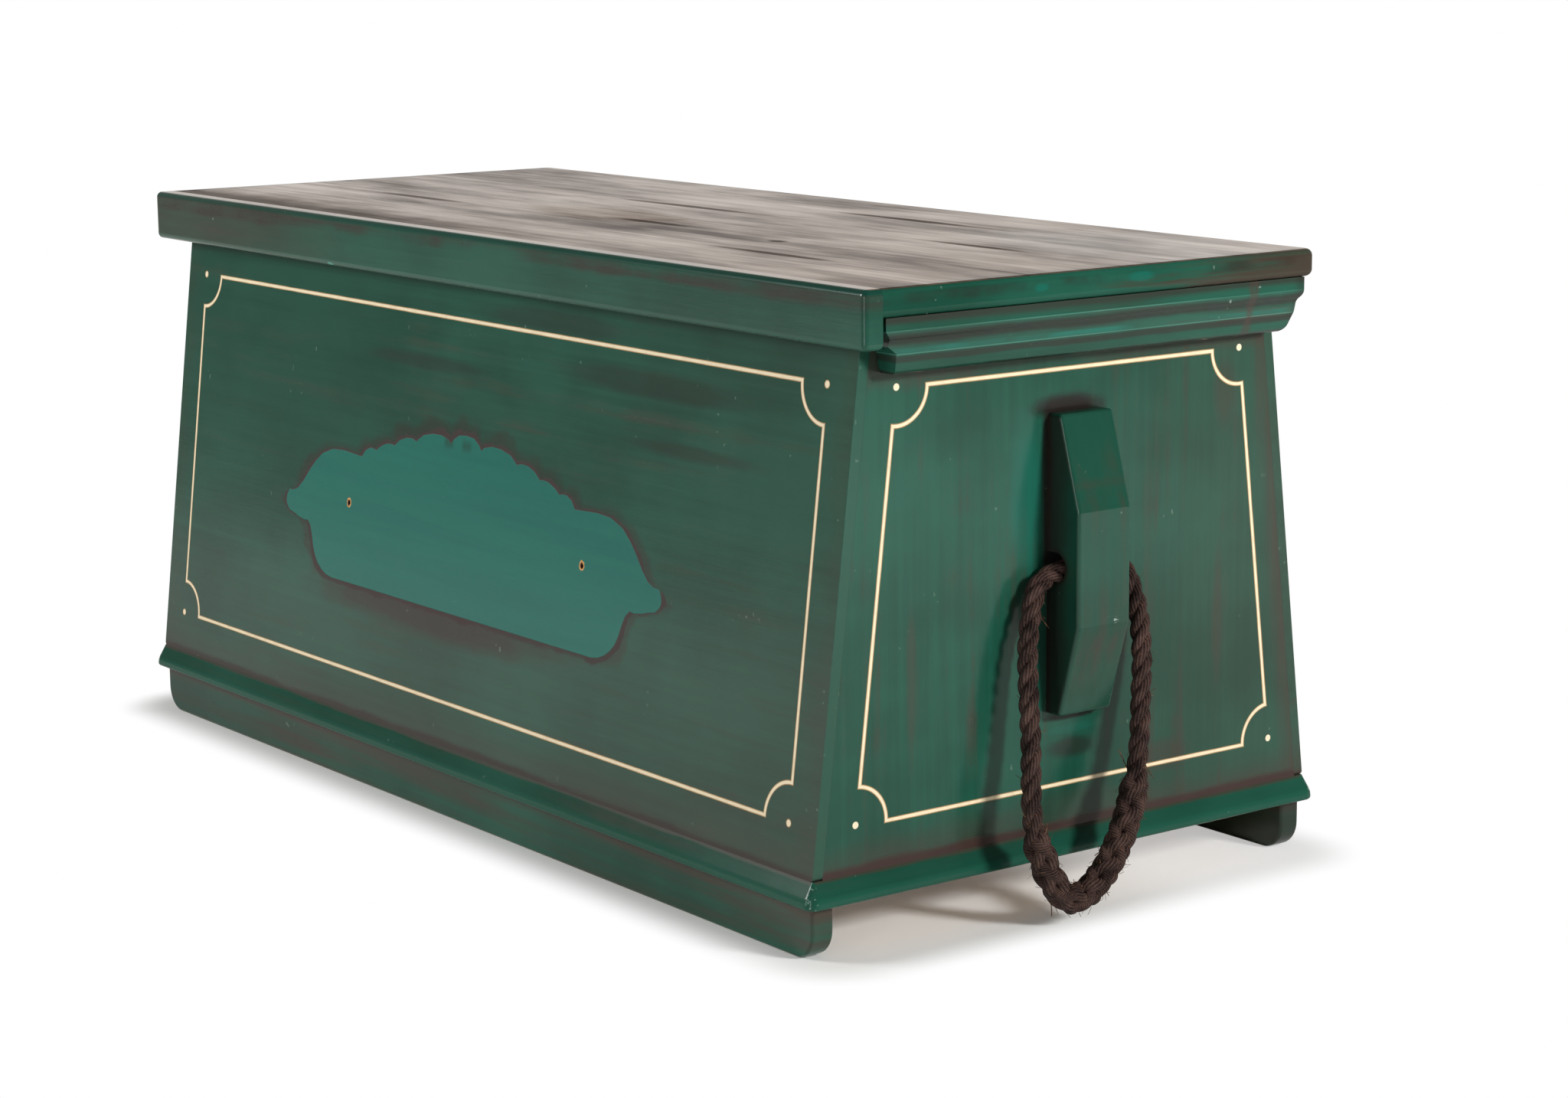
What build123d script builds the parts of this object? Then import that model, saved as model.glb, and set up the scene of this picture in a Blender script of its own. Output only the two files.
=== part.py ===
"""Sea chest with leaning front and back, upright ends, lift-up lid and rope beckets.

Millimetres, +Z up, front towards -Y, right end towards +X.
The origin is the middle of the footprint, on the floor.
"""
from build123d import *
import os
from math import atan, cos, degrees, pi, radians, sin, tan

os.makedirs("parts", exist_ok=True)

# Case
CASE_LENGTH = 942.0  # over the upright end panels
CASE_DEPTH_BASE = 454.0  # outside, where the panels stand on the base board
CASE_DEPTH_TOP = 365.0  # outside, at the top edge
CASE_HEIGHT = 373.5  # upright height of the panels
PANEL_THICKNESS = 20.0
REBATE_LIP = 8.0  # what is left of the long panels where the end panels lodge
CASE_CORNER_RADIUS = 3.0

# Base board and skids
BASE_THICKNESS = 18.5
BASE_PROJECTION = 7.0  # nose of the base board beyond the case
BASE_NOSE_HEIGHT = 5.7  # upright part of its edge, under the bevel
BASE_CORNER_RADIUS = 8.0  # of its outline, on the nose
BASE_EDGE_RADIUS = 2.5  # under the nose
BASE_NOSE_RADIUS = 12.0  # where the bevel meets the nose
SKID_INSET = 2.0  # ends behind the case's ends
SKID_HEIGHT = 38.0
SKID_THICKNESS = 18.0
SKID_SETBACK = 8.0  # outer face behind the nose of the base board
SKID_END_RADIUS = 20.0
SKID_EDGE_RADIUS = 2.5

# Lid
LID_OVERHANG = 29.0  # beyond the case's ends
LID_THICKNESS = 19.6
LID_GAP = 0.4  # between the lid and the case's top edge
LID_BOARD_COUNT = 4
LID_BACK_OVERHANG = 19.5  # beyond the case's back top edge
LID_CORNER_RADIUS = 8.0  # its upright back corners
LID_EDGE_RADIUS = 5.0
RAIL_HEIGHT = 40.0
RAIL_THICKNESS = 15.0
RAIL_GAP = 6.5  # between the rail and the case's front top edge
RAIL_CORNER_RADIUS = 4.5  # its upright front corners
RAIL_EDGE_RADIUS = 4.5

# Lid mouldings
MOULDING_HEIGHT = 39.0
MOULDING_INSET = 2.0  # face of its fillet behind the lid's end
MOULDING_CASE_GAP = 0.8  # running gap to the case's end
MOULDING_FRONT_INSET = 4.0  # behind the rail
MOULDING_BACK_INSET = 10.0  # in front of the lid's back edge
FILLET_HEIGHT = 9.0  # flat band at the top of the moulding
OGEE_HEIGHT = 11.0  # ogee below the band
OGEE_DEPTH = 4.3
ARRIS_DROP = 5.0  # from the ogee's foot to the arris
ARRIS_STEP = 0.7
LOBE_HEIGHT = 9.0  # sloped face below the arris
LOBE_DEPTH = 3.0
FOOT_DEPTH = 4.5  # rounding from the sloped face to the underside
# Outline of the moulding's front end: how far back it stands, and how far under the lid
MOULDING_FRONT_END = [
    (0.0, 0.0),
    (0.0, 9.0),
    (4.7, 14.4),
    (4.9, 19.4),
    (12.4, 24.4),
    (14.0, 34.4),
    (15.5, 39.0),
]

# Becket cleats
CLEAT_WIDTH = 48.0
CLEAT_HEIGHT = 210.5
CLEAT_RISE = 84.0  # lower end above the base board
CLEAT_FLAT = 80.0  # height of the flat middle of its outer face
CLEAT_PROJECTION = 33.0  # from the end panel to that middle
CLEAT_END_PROJECTION = 13.5  # at its upper and lower ends
CLEAT_EDGE_RADIUS = 3.2
GROOVE_RADIUS = 10.0
GROOVE_AXIS_OUT = 9.5  # groove's axis from the end panel
GROOVE_AXIS_UP = 105.0  # groove's axis above the cleat's lower end

# Beckets
ROPE_DIAMETER = 14.0
ROPE_SEAT_GAP = 0.3  # between the rope and the groove that it hangs in
SPLICE_DIAMETER = 22.5
SPLICE_TAPER = 12.0  # length of the taper at each end of the splice
SPLICE_TAPER_SINK = 1.0  # how far the tapers end inside the rope
BECKET_LEAN = 8.5  # degrees off the upright, outwards
# Corners of the rope's route, front leg to back leg: along Y, and height from its axis in the groove
ROUTE = [
    (-38.0, 0.0),
    (-51.5, -29.0),
    (-57.5, -61.0),
    (-59.0, -99.0),
    (-62.5, -134.0),
    (-66.0, -161.0),
    (-61.5, -187.0),
    (-50.5, -214.5),
    (-34.0, -226.0),
    (-11.0, -215.0),
    (9.0, -195.0),
    (25.5, -167.0),
    (35.5, -137.0),
    (42.5, -98.0),
    (49.0, -56.0),
    (46.0, -27.0),
    (37.0, 0.0),
]
SPLICE_CORNERS = slice(6, 12)  # corners of the route that the splice covers
SPLICE_START_SHARE = 0.5  # where it starts and ends on the runs beside them
SPLICE_END_SHARE = 0.8
CORNER_SHARE = 0.45  # of the shorter run beside a corner, taken up by its arc

# Hinges
HINGE_INSET = 171.0  # middle of a hinge from the case's end
HINGE_LENGTH = 75.0
LEAF_THICKNESS = 2.0
LEAF_DEPTH = 16.5  # lodged on the case's top edge
BARREL_RADIUS = 3.5
PIN_RADIUS = 2.0
PIN_CLEARANCE = 0.05
PIN_HEAD = 1.0
KNUCKLE_COUNT = 5
KNUCKLE_GAP = 0.3
BARREL_STANDOFF = 1.5  # between barrel and case back
BARREL_LID_GAP = 0.3
MORTISE_GAP = 0.3

# Screws
SCREW_CLEARANCE = 0.05
SCREW_TIP = 3.0
SLOT_WIDTH = 0.9
SLOT_DEPTH = 0.9
HINGE_SCREW_RADIUS = 1.7
HINGE_SCREW_HEAD = 3.3
HINGE_SCREW_LENGTH = 14.0
HINGE_SCREW_COUNT = 3
HINGE_SCREW_INSET = 11.5  # from the leaf's ends
SKID_SCREW_RADIUS = 2.5
SKID_SCREW_HEAD = 4.6
SKID_SCREW_SINK = 12.0
SKID_SCREW_BITE = 20.0  # into the long panels
SKID_SCREW_COUNT = 5
SKID_SCREW_INSET = 51.0  # from the case's ends
END_SCREW_RADIUS = 2.25
END_SCREW_HEAD = 4.2
END_SCREW_BITE = 25.0  # into the end panels
END_SCREW_COUNT = 3
END_SCREW_INSET = 32.5  # from the case's top edges, front and back
CLEAT_SCREW_BITE = 14.0  # into the cleats
CLEAT_SCREW_INSET = 39.5  # from the cleat's ends
MOULDING_SCREW_RADIUS = 2.0
MOULDING_SCREW_HEAD = 3.7
MOULDING_SCREW_SINK = 6.0
MOULDING_SCREW_BITE = 12.0  # into the lid
MOULDING_SCREW_COUNT = 4
MOULDING_SCREW_INSET = 38.0  # from the moulding's ends

# Holes left by the plate that was screwed to the front
PLATE_HOLE_RADIUS = 1.5
PLATE_HOLE_DEPTH = 14.0
PLATE_HOLE_SPACING = 340.0
PLATE_HOLE_HEIGHT = 165.0  # above the base board

# Levels and faces that follow
BASE_TOP = SKID_HEIGHT + BASE_THICKNESS
CASE_TOP = BASE_TOP + CASE_HEIGHT
LID_UNDER = CASE_TOP + LID_GAP
LID_TOP = LID_UNDER + LID_THICKNESS
CASE_END = CASE_LENGTH / 2
LID_LENGTH = CASE_LENGTH + 2 * LID_OVERHANG
SLOPE = (CASE_DEPTH_BASE - CASE_DEPTH_TOP) / 2 / CASE_HEIGHT
LEAN = atan(SLOPE)
PANEL_WIDE = PANEL_THICKNESS / cos(LEAN)
LIP_WIDE = REBATE_LIP / cos(LEAN)
BASE_HALF_DEPTH = CASE_DEPTH_BASE / 2 + BASE_PROJECTION
SKID_OUTER = BASE_HALF_DEPTH - SKID_SETBACK
SKID_MIDDLE = SKID_OUTER - SKID_THICKNESS / 2
RAIL_BACK = -CASE_DEPTH_TOP / 2 - RAIL_GAP
LID_BACK = CASE_DEPTH_TOP / 2 + LID_BACK_OVERHANG
LID_BOARD_WIDTH = (LID_BACK - RAIL_BACK) / LID_BOARD_COUNT
HINGE_AXIS_Y = CASE_DEPTH_TOP / 2 + BARREL_STANDOFF + BARREL_RADIUS
HINGE_AXIS_Z = LID_UNDER - BARREL_LID_GAP - BARREL_RADIUS
MORTISE_FLOOR = HINGE_AXIS_Z - BARREL_RADIUS
LEAF_EDGE_Y = CASE_DEPTH_TOP / 2 - LEAF_DEPTH
LEAF_SCREW_Y = (LEAF_EDGE_Y + CASE_DEPTH_TOP / 2) / 2
CLEAT_BOTTOM = BASE_TOP + CLEAT_RISE
GROOVE_X = CASE_END + GROOVE_AXIS_OUT
GROOVE_Z = CLEAT_BOTTOM + GROOVE_AXIS_UP
ROPE_Z = GROOVE_Z - GROOVE_RADIUS + ROPE_SEAT_GAP + ROPE_DIAMETER / 2
MOULDING_BOTTOM = LID_UNDER - MOULDING_HEIGHT
MOULDING_FACE = LID_LENGTH / 2 - MOULDING_INSET
MOULDING_BACK_FACE = CASE_END + MOULDING_CASE_GAP
MOULDING_FRONT = RAIL_BACK + MOULDING_FRONT_INSET
MOULDING_REAR = LID_BACK - MOULDING_BACK_INSET
MOULDING_MIDDLE = (MOULDING_FRONT + MOULDING_REAR) / 2
MOULDING_SCREW_X = MOULDING_BACK_FACE + MOULDING_SCREW_HEAD + 2 * MOULDING_CASE_GAP
HINGE_CENTRES = (HINGE_INSET - CASE_END, CASE_END - HINGE_INSET)
SPLICE_STEP = (SPLICE_DIAMETER - ROPE_DIAMETER) / 2
SPLICE_TAPER_ANGLE = degrees(atan((SPLICE_STEP + SPLICE_TAPER_SINK) / SPLICE_TAPER))


def outer_y(height):
    """Distance from the middle plane to the outside of the long panels at a height."""
    return CASE_DEPTH_BASE / 2 - SLOPE * (height - BASE_TOP)


def save(piece, name):
    """Label a finished piece and write it."""
    piece.label = name
    export_step(piece, f"parts/{name}.step")


def row(count, reach):
    """Evenly spaced positions from -reach to reach."""
    return [reach * (2 * i / (count - 1) - 1) for i in range(count)]


def screw(shank, head, length, clearance=0.0, sink=0.0):
    """Countersunk screw pointing down from z = 0, or with a clearance the hole that takes it."""
    cone = head - shank
    shank += clearance
    head += clearance
    above = [(0, sink), (head, sink)] if sink else [(0, 0)]
    below = [(head, 0), (shank, -cone), (shank, SCREW_TIP - length), (0, -length)]
    with BuildPart() as body:
        with BuildSketch(Plane.XZ):
            with BuildLine():
                Polyline(*above, *below, close=True)
            make_face()
        revolve(axis=Axis.Z)
        if not clearance:
            Box(
                2 * head,
                SLOT_WIDTH,
                SLOT_DEPTH,
                align=(Align.CENTER, Align.CENTER, Align.MAX),
                mode=Mode.SUBTRACT,
            )
    return body.part


def place(shape, planes, mode=Mode.ADD):
    """Put a shape on each plane of the part being built."""
    with Locations(*planes):
        add(shape, mode=mode)


HINGE_SCREW = screw(HINGE_SCREW_RADIUS, HINGE_SCREW_HEAD, HINGE_SCREW_LENGTH)
HINGE_SCREW_HOLE = screw(HINGE_SCREW_RADIUS, HINGE_SCREW_HEAD, HINGE_SCREW_LENGTH, SCREW_CLEARANCE)
SKID_SCREW_LENGTH = SKID_HEIGHT - SKID_SCREW_SINK + BASE_THICKNESS + SKID_SCREW_BITE
SKID_SCREW = screw(SKID_SCREW_RADIUS, SKID_SCREW_HEAD, SKID_SCREW_LENGTH)
SKID_SCREW_HOLE = screw(
    SKID_SCREW_RADIUS, SKID_SCREW_HEAD, SKID_SCREW_LENGTH, SCREW_CLEARANCE, SKID_SCREW_SINK
)
END_SCREW_LENGTH = BASE_THICKNESS + END_SCREW_BITE
END_SCREW = screw(END_SCREW_RADIUS, END_SCREW_HEAD, END_SCREW_LENGTH)
END_SCREW_HOLE = screw(END_SCREW_RADIUS, END_SCREW_HEAD, END_SCREW_LENGTH, SCREW_CLEARANCE)
CLEAT_SCREW_LENGTH = PANEL_THICKNESS + CLEAT_SCREW_BITE
CLEAT_SCREW = screw(END_SCREW_RADIUS, END_SCREW_HEAD, CLEAT_SCREW_LENGTH)
CLEAT_SCREW_HOLE = screw(END_SCREW_RADIUS, END_SCREW_HEAD, CLEAT_SCREW_LENGTH, SCREW_CLEARANCE)
MOULDING_SCREW_LENGTH = MOULDING_HEIGHT - MOULDING_SCREW_SINK + MOULDING_SCREW_BITE
MOULDING_SCREW = screw(MOULDING_SCREW_RADIUS, MOULDING_SCREW_HEAD, MOULDING_SCREW_LENGTH)
MOULDING_SCREW_HOLE = screw(
    MOULDING_SCREW_RADIUS,
    MOULDING_SCREW_HEAD,
    MOULDING_SCREW_LENGTH,
    SCREW_CLEARANCE,
    MOULDING_SCREW_SINK,
)


def skid_screw_planes(side):
    """Head planes of the screws that hold one skid, the base board and a long panel together."""
    return [
        Plane(origin=(x, side * SKID_MIDDLE, SKID_SCREW_SINK), z_dir=(0, 0, -1))
        for x in row(SKID_SCREW_COUNT, CASE_END - SKID_SCREW_INSET)
    ]


def end_screw_planes(side):
    """Head planes of the screws up through the base board into one end panel."""
    return [
        Plane(origin=(side * (CASE_END - PANEL_THICKNESS / 2), y, SKID_HEIGHT), z_dir=(0, 0, -1))
        for y in row(END_SCREW_COUNT, CASE_DEPTH_TOP / 2 - END_SCREW_INSET)
    ]


def cleat_screw_planes(side):
    """Head planes of the screws from inside the case into one cleat."""
    middle = CLEAT_BOTTOM + CLEAT_HEIGHT / 2
    return [
        Plane(origin=(side * (CASE_END - PANEL_THICKNESS), 0, middle + up), z_dir=(-side, 0, 0))
        for up in row(2, CLEAT_HEIGHT / 2 - CLEAT_SCREW_INSET)
    ]


def moulding_screw_planes(side):
    """Head planes of the screws up through one moulding into the lid."""
    height = MOULDING_BOTTOM + MOULDING_SCREW_SINK
    reach = (MOULDING_REAR - MOULDING_FRONT) / 2 - MOULDING_SCREW_INSET
    return [
        Plane(origin=(side * MOULDING_SCREW_X, MOULDING_MIDDLE + y, height), z_dir=(0, 0, -1))
        for y in row(MOULDING_SCREW_COUNT, reach)
    ]


def hinge_screw_planes(centre, height, up):
    """Head planes of the screws in one hinge leaf."""
    return [
        Plane(origin=(centre + x, LEAF_SCREW_Y, height), z_dir=(0, 0, up))
        for x in row(HINGE_SCREW_COUNT, HINGE_LENGTH / 2 - HINGE_SCREW_INSET)
    ]


CASE_LEAF_TOP = MORTISE_FLOOR + LEAF_THICKNESS
LID_LEAF_UNDER = LID_UNDER - LEAF_THICKNESS
CASE_HINGE_SCREWS = [p for c in HINGE_CENTRES for p in hinge_screw_planes(c, CASE_LEAF_TOP, 1)]
LID_HINGE_SCREWS = [p for c in HINGE_CENTRES for p in hinge_screw_planes(c, LID_LEAF_UNDER, -1)]


def long_panel(side):
    """Front (side -1) or back (side 1) panel, rebated at both ends for the end panels."""
    with BuildPart() as panel:
        with BuildSketch(Plane.YZ):
            with BuildLine():
                Polyline(
                    (side * outer_y(BASE_TOP), BASE_TOP),
                    (side * outer_y(CASE_TOP), CASE_TOP),
                    (side * (outer_y(CASE_TOP) - PANEL_WIDE), CASE_TOP),
                    (side * (outer_y(BASE_TOP) - PANEL_WIDE), BASE_TOP),
                    close=True,
                )
            make_face()
        extrude(amount=CASE_END, both=True)
        for end in (-1, 1):
            with BuildSketch(Plane.YZ.offset(end * (CASE_END - PANEL_THICKNESS / 2))):
                with BuildLine():
                    Polyline(
                        (side * (outer_y(BASE_TOP) - LIP_WIDE), BASE_TOP),
                        (side * (outer_y(CASE_TOP) - LIP_WIDE), CASE_TOP),
                        (side * (outer_y(CASE_TOP) - 2 * PANEL_WIDE), CASE_TOP),
                        (side * (outer_y(BASE_TOP) - 2 * PANEL_WIDE), BASE_TOP),
                        close=True,
                    )
                make_face()
            extrude(amount=PANEL_THICKNESS / 2, both=True, mode=Mode.SUBTRACT)
        outside = panel.faces().sort_by(Axis.Y)[-1 if side > 0 else 0]
        corners = outside.edges().sort_by(Axis.X)
        fillet([corners[0], corners[-1]], CASE_CORNER_RADIUS)
        place(SKID_SCREW_HOLE, skid_screw_planes(side), Mode.SUBTRACT)
        if side < 0:
            face_y = -outer_y(BASE_TOP + PLATE_HOLE_HEIGHT)
            face = Plane(
                origin=(0, face_y, BASE_TOP + PLATE_HOLE_HEIGHT),
                x_dir=(1, 0, 0),
                z_dir=(0, -cos(LEAN), sin(LEAN)),
            )
            with BuildSketch(face):
                with GridLocations(PLATE_HOLE_SPACING, 0, 2, 1):
                    Circle(PLATE_HOLE_RADIUS)
            extrude(amount=-PLATE_HOLE_DEPTH, mode=Mode.SUBTRACT)
        else:
            for centre in HINGE_CENTRES:
                front = LEAF_EDGE_Y - MORTISE_GAP
                with BuildSketch(Plane.XY.offset(MORTISE_FLOOR)):
                    with Locations((centre, front)):
                        Rectangle(
                            HINGE_LENGTH + 2 * MORTISE_GAP,
                            2 * PANEL_WIDE,
                            align=(Align.CENTER, Align.MIN),
                        )
                extrude(amount=CASE_TOP - MORTISE_FLOOR, mode=Mode.SUBTRACT)
            place(HINGE_SCREW_HOLE, CASE_HINGE_SCREWS, Mode.SUBTRACT)
    return panel.part


def end_panel(side):
    """Left (side -1) or right (side 1) upright end panel, lodged in the long panels' rebates."""
    with BuildPart() as panel:
        with BuildSketch(Plane.YZ.offset(side * (CASE_END - PANEL_THICKNESS / 2))):
            with BuildLine():
                Polyline(
                    (LIP_WIDE - outer_y(BASE_TOP), BASE_TOP),
                    (LIP_WIDE - outer_y(CASE_TOP), CASE_TOP),
                    (outer_y(CASE_TOP) - LIP_WIDE, CASE_TOP),
                    (outer_y(BASE_TOP) - LIP_WIDE, BASE_TOP),
                    close=True,
                )
            make_face()
        extrude(amount=PANEL_THICKNESS / 2, both=True)
        place(END_SCREW_HOLE, end_screw_planes(side), Mode.SUBTRACT)
        place(CLEAT_SCREW_HOLE, cleat_screw_planes(side), Mode.SUBTRACT)
    return panel.part


def is_level(edge):
    """Whether an edge lies at one height."""
    return abs((edge @ 0).Z - (edge @ 1).Z) < 0.01


def base_board():
    """Board that the case stands on, its edge bevelled and its nose rounded."""
    length = CASE_LENGTH + 2 * BASE_PROJECTION
    bevel = BASE_THICKNESS - BASE_NOSE_HEIGHT
    with BuildPart() as board:
        with BuildSketch(Plane.XY.offset(SKID_HEIGHT)):
            RectangleRounded(length, 2 * BASE_HALF_DEPTH, BASE_CORNER_RADIUS)
        extrude(amount=BASE_NOSE_HEIGHT)
        extrude(
            board.faces().sort_by(Axis.Z)[-1],
            amount=bevel,
            taper=degrees(atan(BASE_PROJECTION / bevel)),
        )
        levels = board.edges().filter_by(lambda e: is_level(e)).group_by(Axis.Z)
        fillet(levels[1], BASE_NOSE_RADIUS)
        fillet(board.edges().group_by(Axis.Z)[0], BASE_EDGE_RADIUS)
        for side in (-1, 1):
            place(SKID_SCREW_HOLE, skid_screw_planes(side), Mode.SUBTRACT)
            place(END_SCREW_HOLE, end_screw_planes(side), Mode.SUBTRACT)
    return board.part


def skid(side):
    """Front (side -1) or back (side 1) skid."""
    with BuildPart() as board:
        with BuildSketch(Plane.XZ.offset(-side * SKID_MIDDLE)) as outline:
            with Locations((0, SKID_HEIGHT / 2)):
                Rectangle(2 * (CASE_END - SKID_INSET), SKID_HEIGHT)
            fillet(outline.vertices().group_by(Axis.Y)[0], SKID_END_RADIUS)
        extrude(amount=SKID_THICKNESS / 2, both=True)
        faces = board.faces().sort_by(Axis.Y)
        for face in (faces[0], faces[-1]):
            low = face.edges().filter_by(lambda e: e.center().Z < SKID_HEIGHT - SKID_EDGE_RADIUS)
            fillet(low, SKID_EDGE_RADIUS)
        place(SKID_SCREW_HOLE, skid_screw_planes(side), Mode.SUBTRACT)
    return board.part


def cleat(side):
    """Left (side -1) or right (side 1) becket cleat, grooved across its back for the rope."""
    top = CLEAT_BOTTOM + CLEAT_HEIGHT
    ramp = (CLEAT_HEIGHT - CLEAT_FLAT) / 2
    outline = [
        (CASE_END, CLEAT_BOTTOM),
        (CASE_END + CLEAT_END_PROJECTION, CLEAT_BOTTOM),
        (CASE_END + CLEAT_PROJECTION, CLEAT_BOTTOM + ramp),
        (CASE_END + CLEAT_PROJECTION, top - ramp),
        (CASE_END + CLEAT_END_PROJECTION, top),
        (CASE_END, top),
    ]
    with BuildPart() as block:
        with BuildSketch(Plane.XZ):
            with BuildLine():
                Polyline(*[(side * x, z) for x, z in outline], close=True)
            make_face()
        extrude(amount=CLEAT_WIDTH / 2, both=True)
        wall = block.faces().sort_by(Axis.X)[0 if side > 0 else -1]
        kept = wall.edges()
        fillet(block.edges().filter_by(lambda e: e not in kept), CLEAT_EDGE_RADIUS)
        with BuildSketch(Plane.XZ):
            with Locations((side * GROOVE_X, GROOVE_Z)):
                Circle(GROOVE_RADIUS)
            with Locations((side * (CASE_END + GROOVE_AXIS_OUT / 2), GROOVE_Z)):
                Rectangle(GROOVE_AXIS_OUT, 2 * GROOVE_RADIUS)
        extrude(amount=CLEAT_WIDTH, both=True, mode=Mode.SUBTRACT)
        place(CLEAT_SCREW_HOLE, cleat_screw_planes(side), Mode.SUBTRACT)
    return block.part


def route_point(side, point):
    """A point of the rope's route, in the plane that leans outwards from its axis in the groove."""
    along, height = point
    return (side * (GROOVE_X - height * tan(radians(BECKET_LEAN))), along, ROPE_Z + height)


def share(start, end, part):
    """The point a given share of the way from one point to another."""
    return tuple(a + (b - a) * part for a, b in zip(start, end))


def corner_radii(points, closed):
    """Radius for each corner: a share of its shorter run over the tangent of half the turn."""
    radii = []
    count = len(points)
    for i in range(count) if closed else range(1, count - 1):
        before = Vector(*points[i]) - Vector(*points[i - 1])
        after = Vector(*points[(i + 1) % count]) - Vector(*points[i])
        turn = radians(before.get_angle(after))
        radii.append(CORNER_SHARE * min(before.length, after.length) / tan(turn / 2))
    return radii


def becket(side):
    """Left (side -1) or right (side 1) rope ring through its cleat, thicker along the splice."""
    corners = [route_point(side, p) for p in ROUTE]
    radii = corner_radii(corners, closed=True)
    first, after = SPLICE_CORNERS.start, SPLICE_CORNERS.stop
    start = share(corners[first - 1], corners[first], SPLICE_START_SHARE)
    end = share(corners[after - 1], corners[after], SPLICE_END_SHARE)
    splice_points = [start] + corners[SPLICE_CORNERS] + [end]
    with BuildPart() as ring:
        with BuildLine() as loop:
            FilletPolyline(*corners, radius=radii, close=True)
        with BuildSketch(Plane(origin=loop.line @ 0, z_dir=loop.line % 0)):
            Circle(ROPE_DIAMETER / 2)
        sweep(path=loop.line)
        with BuildLine() as covered:
            FilletPolyline(*splice_points, radius=radii[SPLICE_CORNERS])
        with BuildSketch(Plane(origin=covered.line @ 0, z_dir=covered.line % 0)):
            Circle(SPLICE_DIAMETER / 2)
        sweep(path=covered.line)
        for origin, outwards in (
            (covered.line @ 0, covered.line % 0 * -1),
            (covered.line @ 1, covered.line % 1),
        ):
            with BuildSketch(Plane(origin=origin, z_dir=outwards)):
                Circle(SPLICE_DIAMETER / 2)
            extrude(amount=SPLICE_TAPER, taper=SPLICE_TAPER_ANGLE)
    if side > 0:
        section = pi * ROPE_DIAMETER**2 / 4
        extra = pi * SPLICE_DIAMETER**2 / 4 - section
        rope_length = sum(edge.length for edge in loop.edges())
        splice_length = sum(edge.length for edge in covered.edges())
        expected = section * rope_length + extra * splice_length
        print("becket centreline", round(rope_length, 1), "mm")
        print("splice", round(splice_length, 1), "mm")
        print("corner radii", [round(r, 1) for r in radii])
        print("becket volume over section times length", round(ring.part.volume / expected, 4))
    return ring.part


def lid_board(index):
    """One board of the lid, counted from the front."""
    front = RAIL_BACK + index * LID_BOARD_WIDTH
    last = index == LID_BOARD_COUNT - 1
    with BuildPart() as board:
        with BuildSketch(Plane.XY.offset(LID_UNDER)):
            with Locations((0, front)):
                Rectangle(LID_LENGTH, LID_BOARD_WIDTH, align=(Align.CENTER, Align.MIN))
        extrude(amount=LID_THICKNESS)
        if last:
            rear = board.faces().sort_by(Axis.Y)[-1]
            fillet(rear.edges().filter_by(Axis.Z), LID_CORNER_RADIUS)
        flats = board.faces().filter_by(Axis.Z)
        rim = flats.edges().filter_by(lambda e: not is_seam(e, front, last))
        fillet(rim, LID_EDGE_RADIUS)
        for side in (-1, 1):
            place(MOULDING_SCREW_HOLE, moulding_screw_planes(side), Mode.SUBTRACT)
        if last:
            place(HINGE_SCREW_HOLE, LID_HINGE_SCREWS, Mode.SUBTRACT)
    return board.part


def is_seam(edge, front, last):
    """Whether an edge of a lid board lies against the next board or the rail."""
    y = edge.center().Y
    at_front = abs(y - front) < 0.01
    at_back = abs(y - front - LID_BOARD_WIDTH) < 0.01 and not last
    return at_front or at_back


def lid_front_rail():
    """Rail along the lid's front edge that drops in front of the case."""
    with BuildPart() as rail:
        with BuildSketch(Plane.XY.offset(LID_TOP - RAIL_HEIGHT)):
            with Locations((0, RAIL_BACK)):
                Rectangle(LID_LENGTH, RAIL_THICKNESS, align=(Align.CENTER, Align.MAX))
        extrude(amount=RAIL_HEIGHT)
        face = rail.faces().sort_by(Axis.Y)[0]
        fillet(face.edges().filter_by(Axis.Z), RAIL_CORNER_RADIUS)
        rim = rail.edges().filter_by(lambda e: not lies_on_lid(e))
        fillet(rim.filter_by(Plane.XY), RAIL_EDGE_RADIUS)
    return rail.part


def lies_on_lid(edge):
    """Whether an edge of the rail lies against the lid's first board."""
    centre = edge.center()
    return abs(centre.Y - RAIL_BACK) < 0.01 and centre.Z > LID_UNDER


def moulding_profile():
    """Profile points: how far each level of the moulding stands back from its top band."""
    ogee_foot = LID_UNDER - FILLET_HEIGHT - OGEE_HEIGHT
    arris = ogee_foot - ARRIS_DROP
    lobe_foot = arris - LOBE_HEIGHT
    return {
        "top": (0, LID_UNDER),
        "band": (0, LID_UNDER - FILLET_HEIGHT),
        "ogee_middle": (OGEE_DEPTH / 2, LID_UNDER - FILLET_HEIGHT - OGEE_HEIGHT / 2),
        "ogee_foot": (OGEE_DEPTH, ogee_foot),
        "arris": (OGEE_DEPTH + ARRIS_STEP, arris),
        "lobe_foot": (OGEE_DEPTH + ARRIS_STEP + LOBE_DEPTH, lobe_foot),
        "foot": (OGEE_DEPTH + ARRIS_STEP + LOBE_DEPTH + FOOT_DEPTH, MOULDING_BOTTOM),
    }


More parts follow.
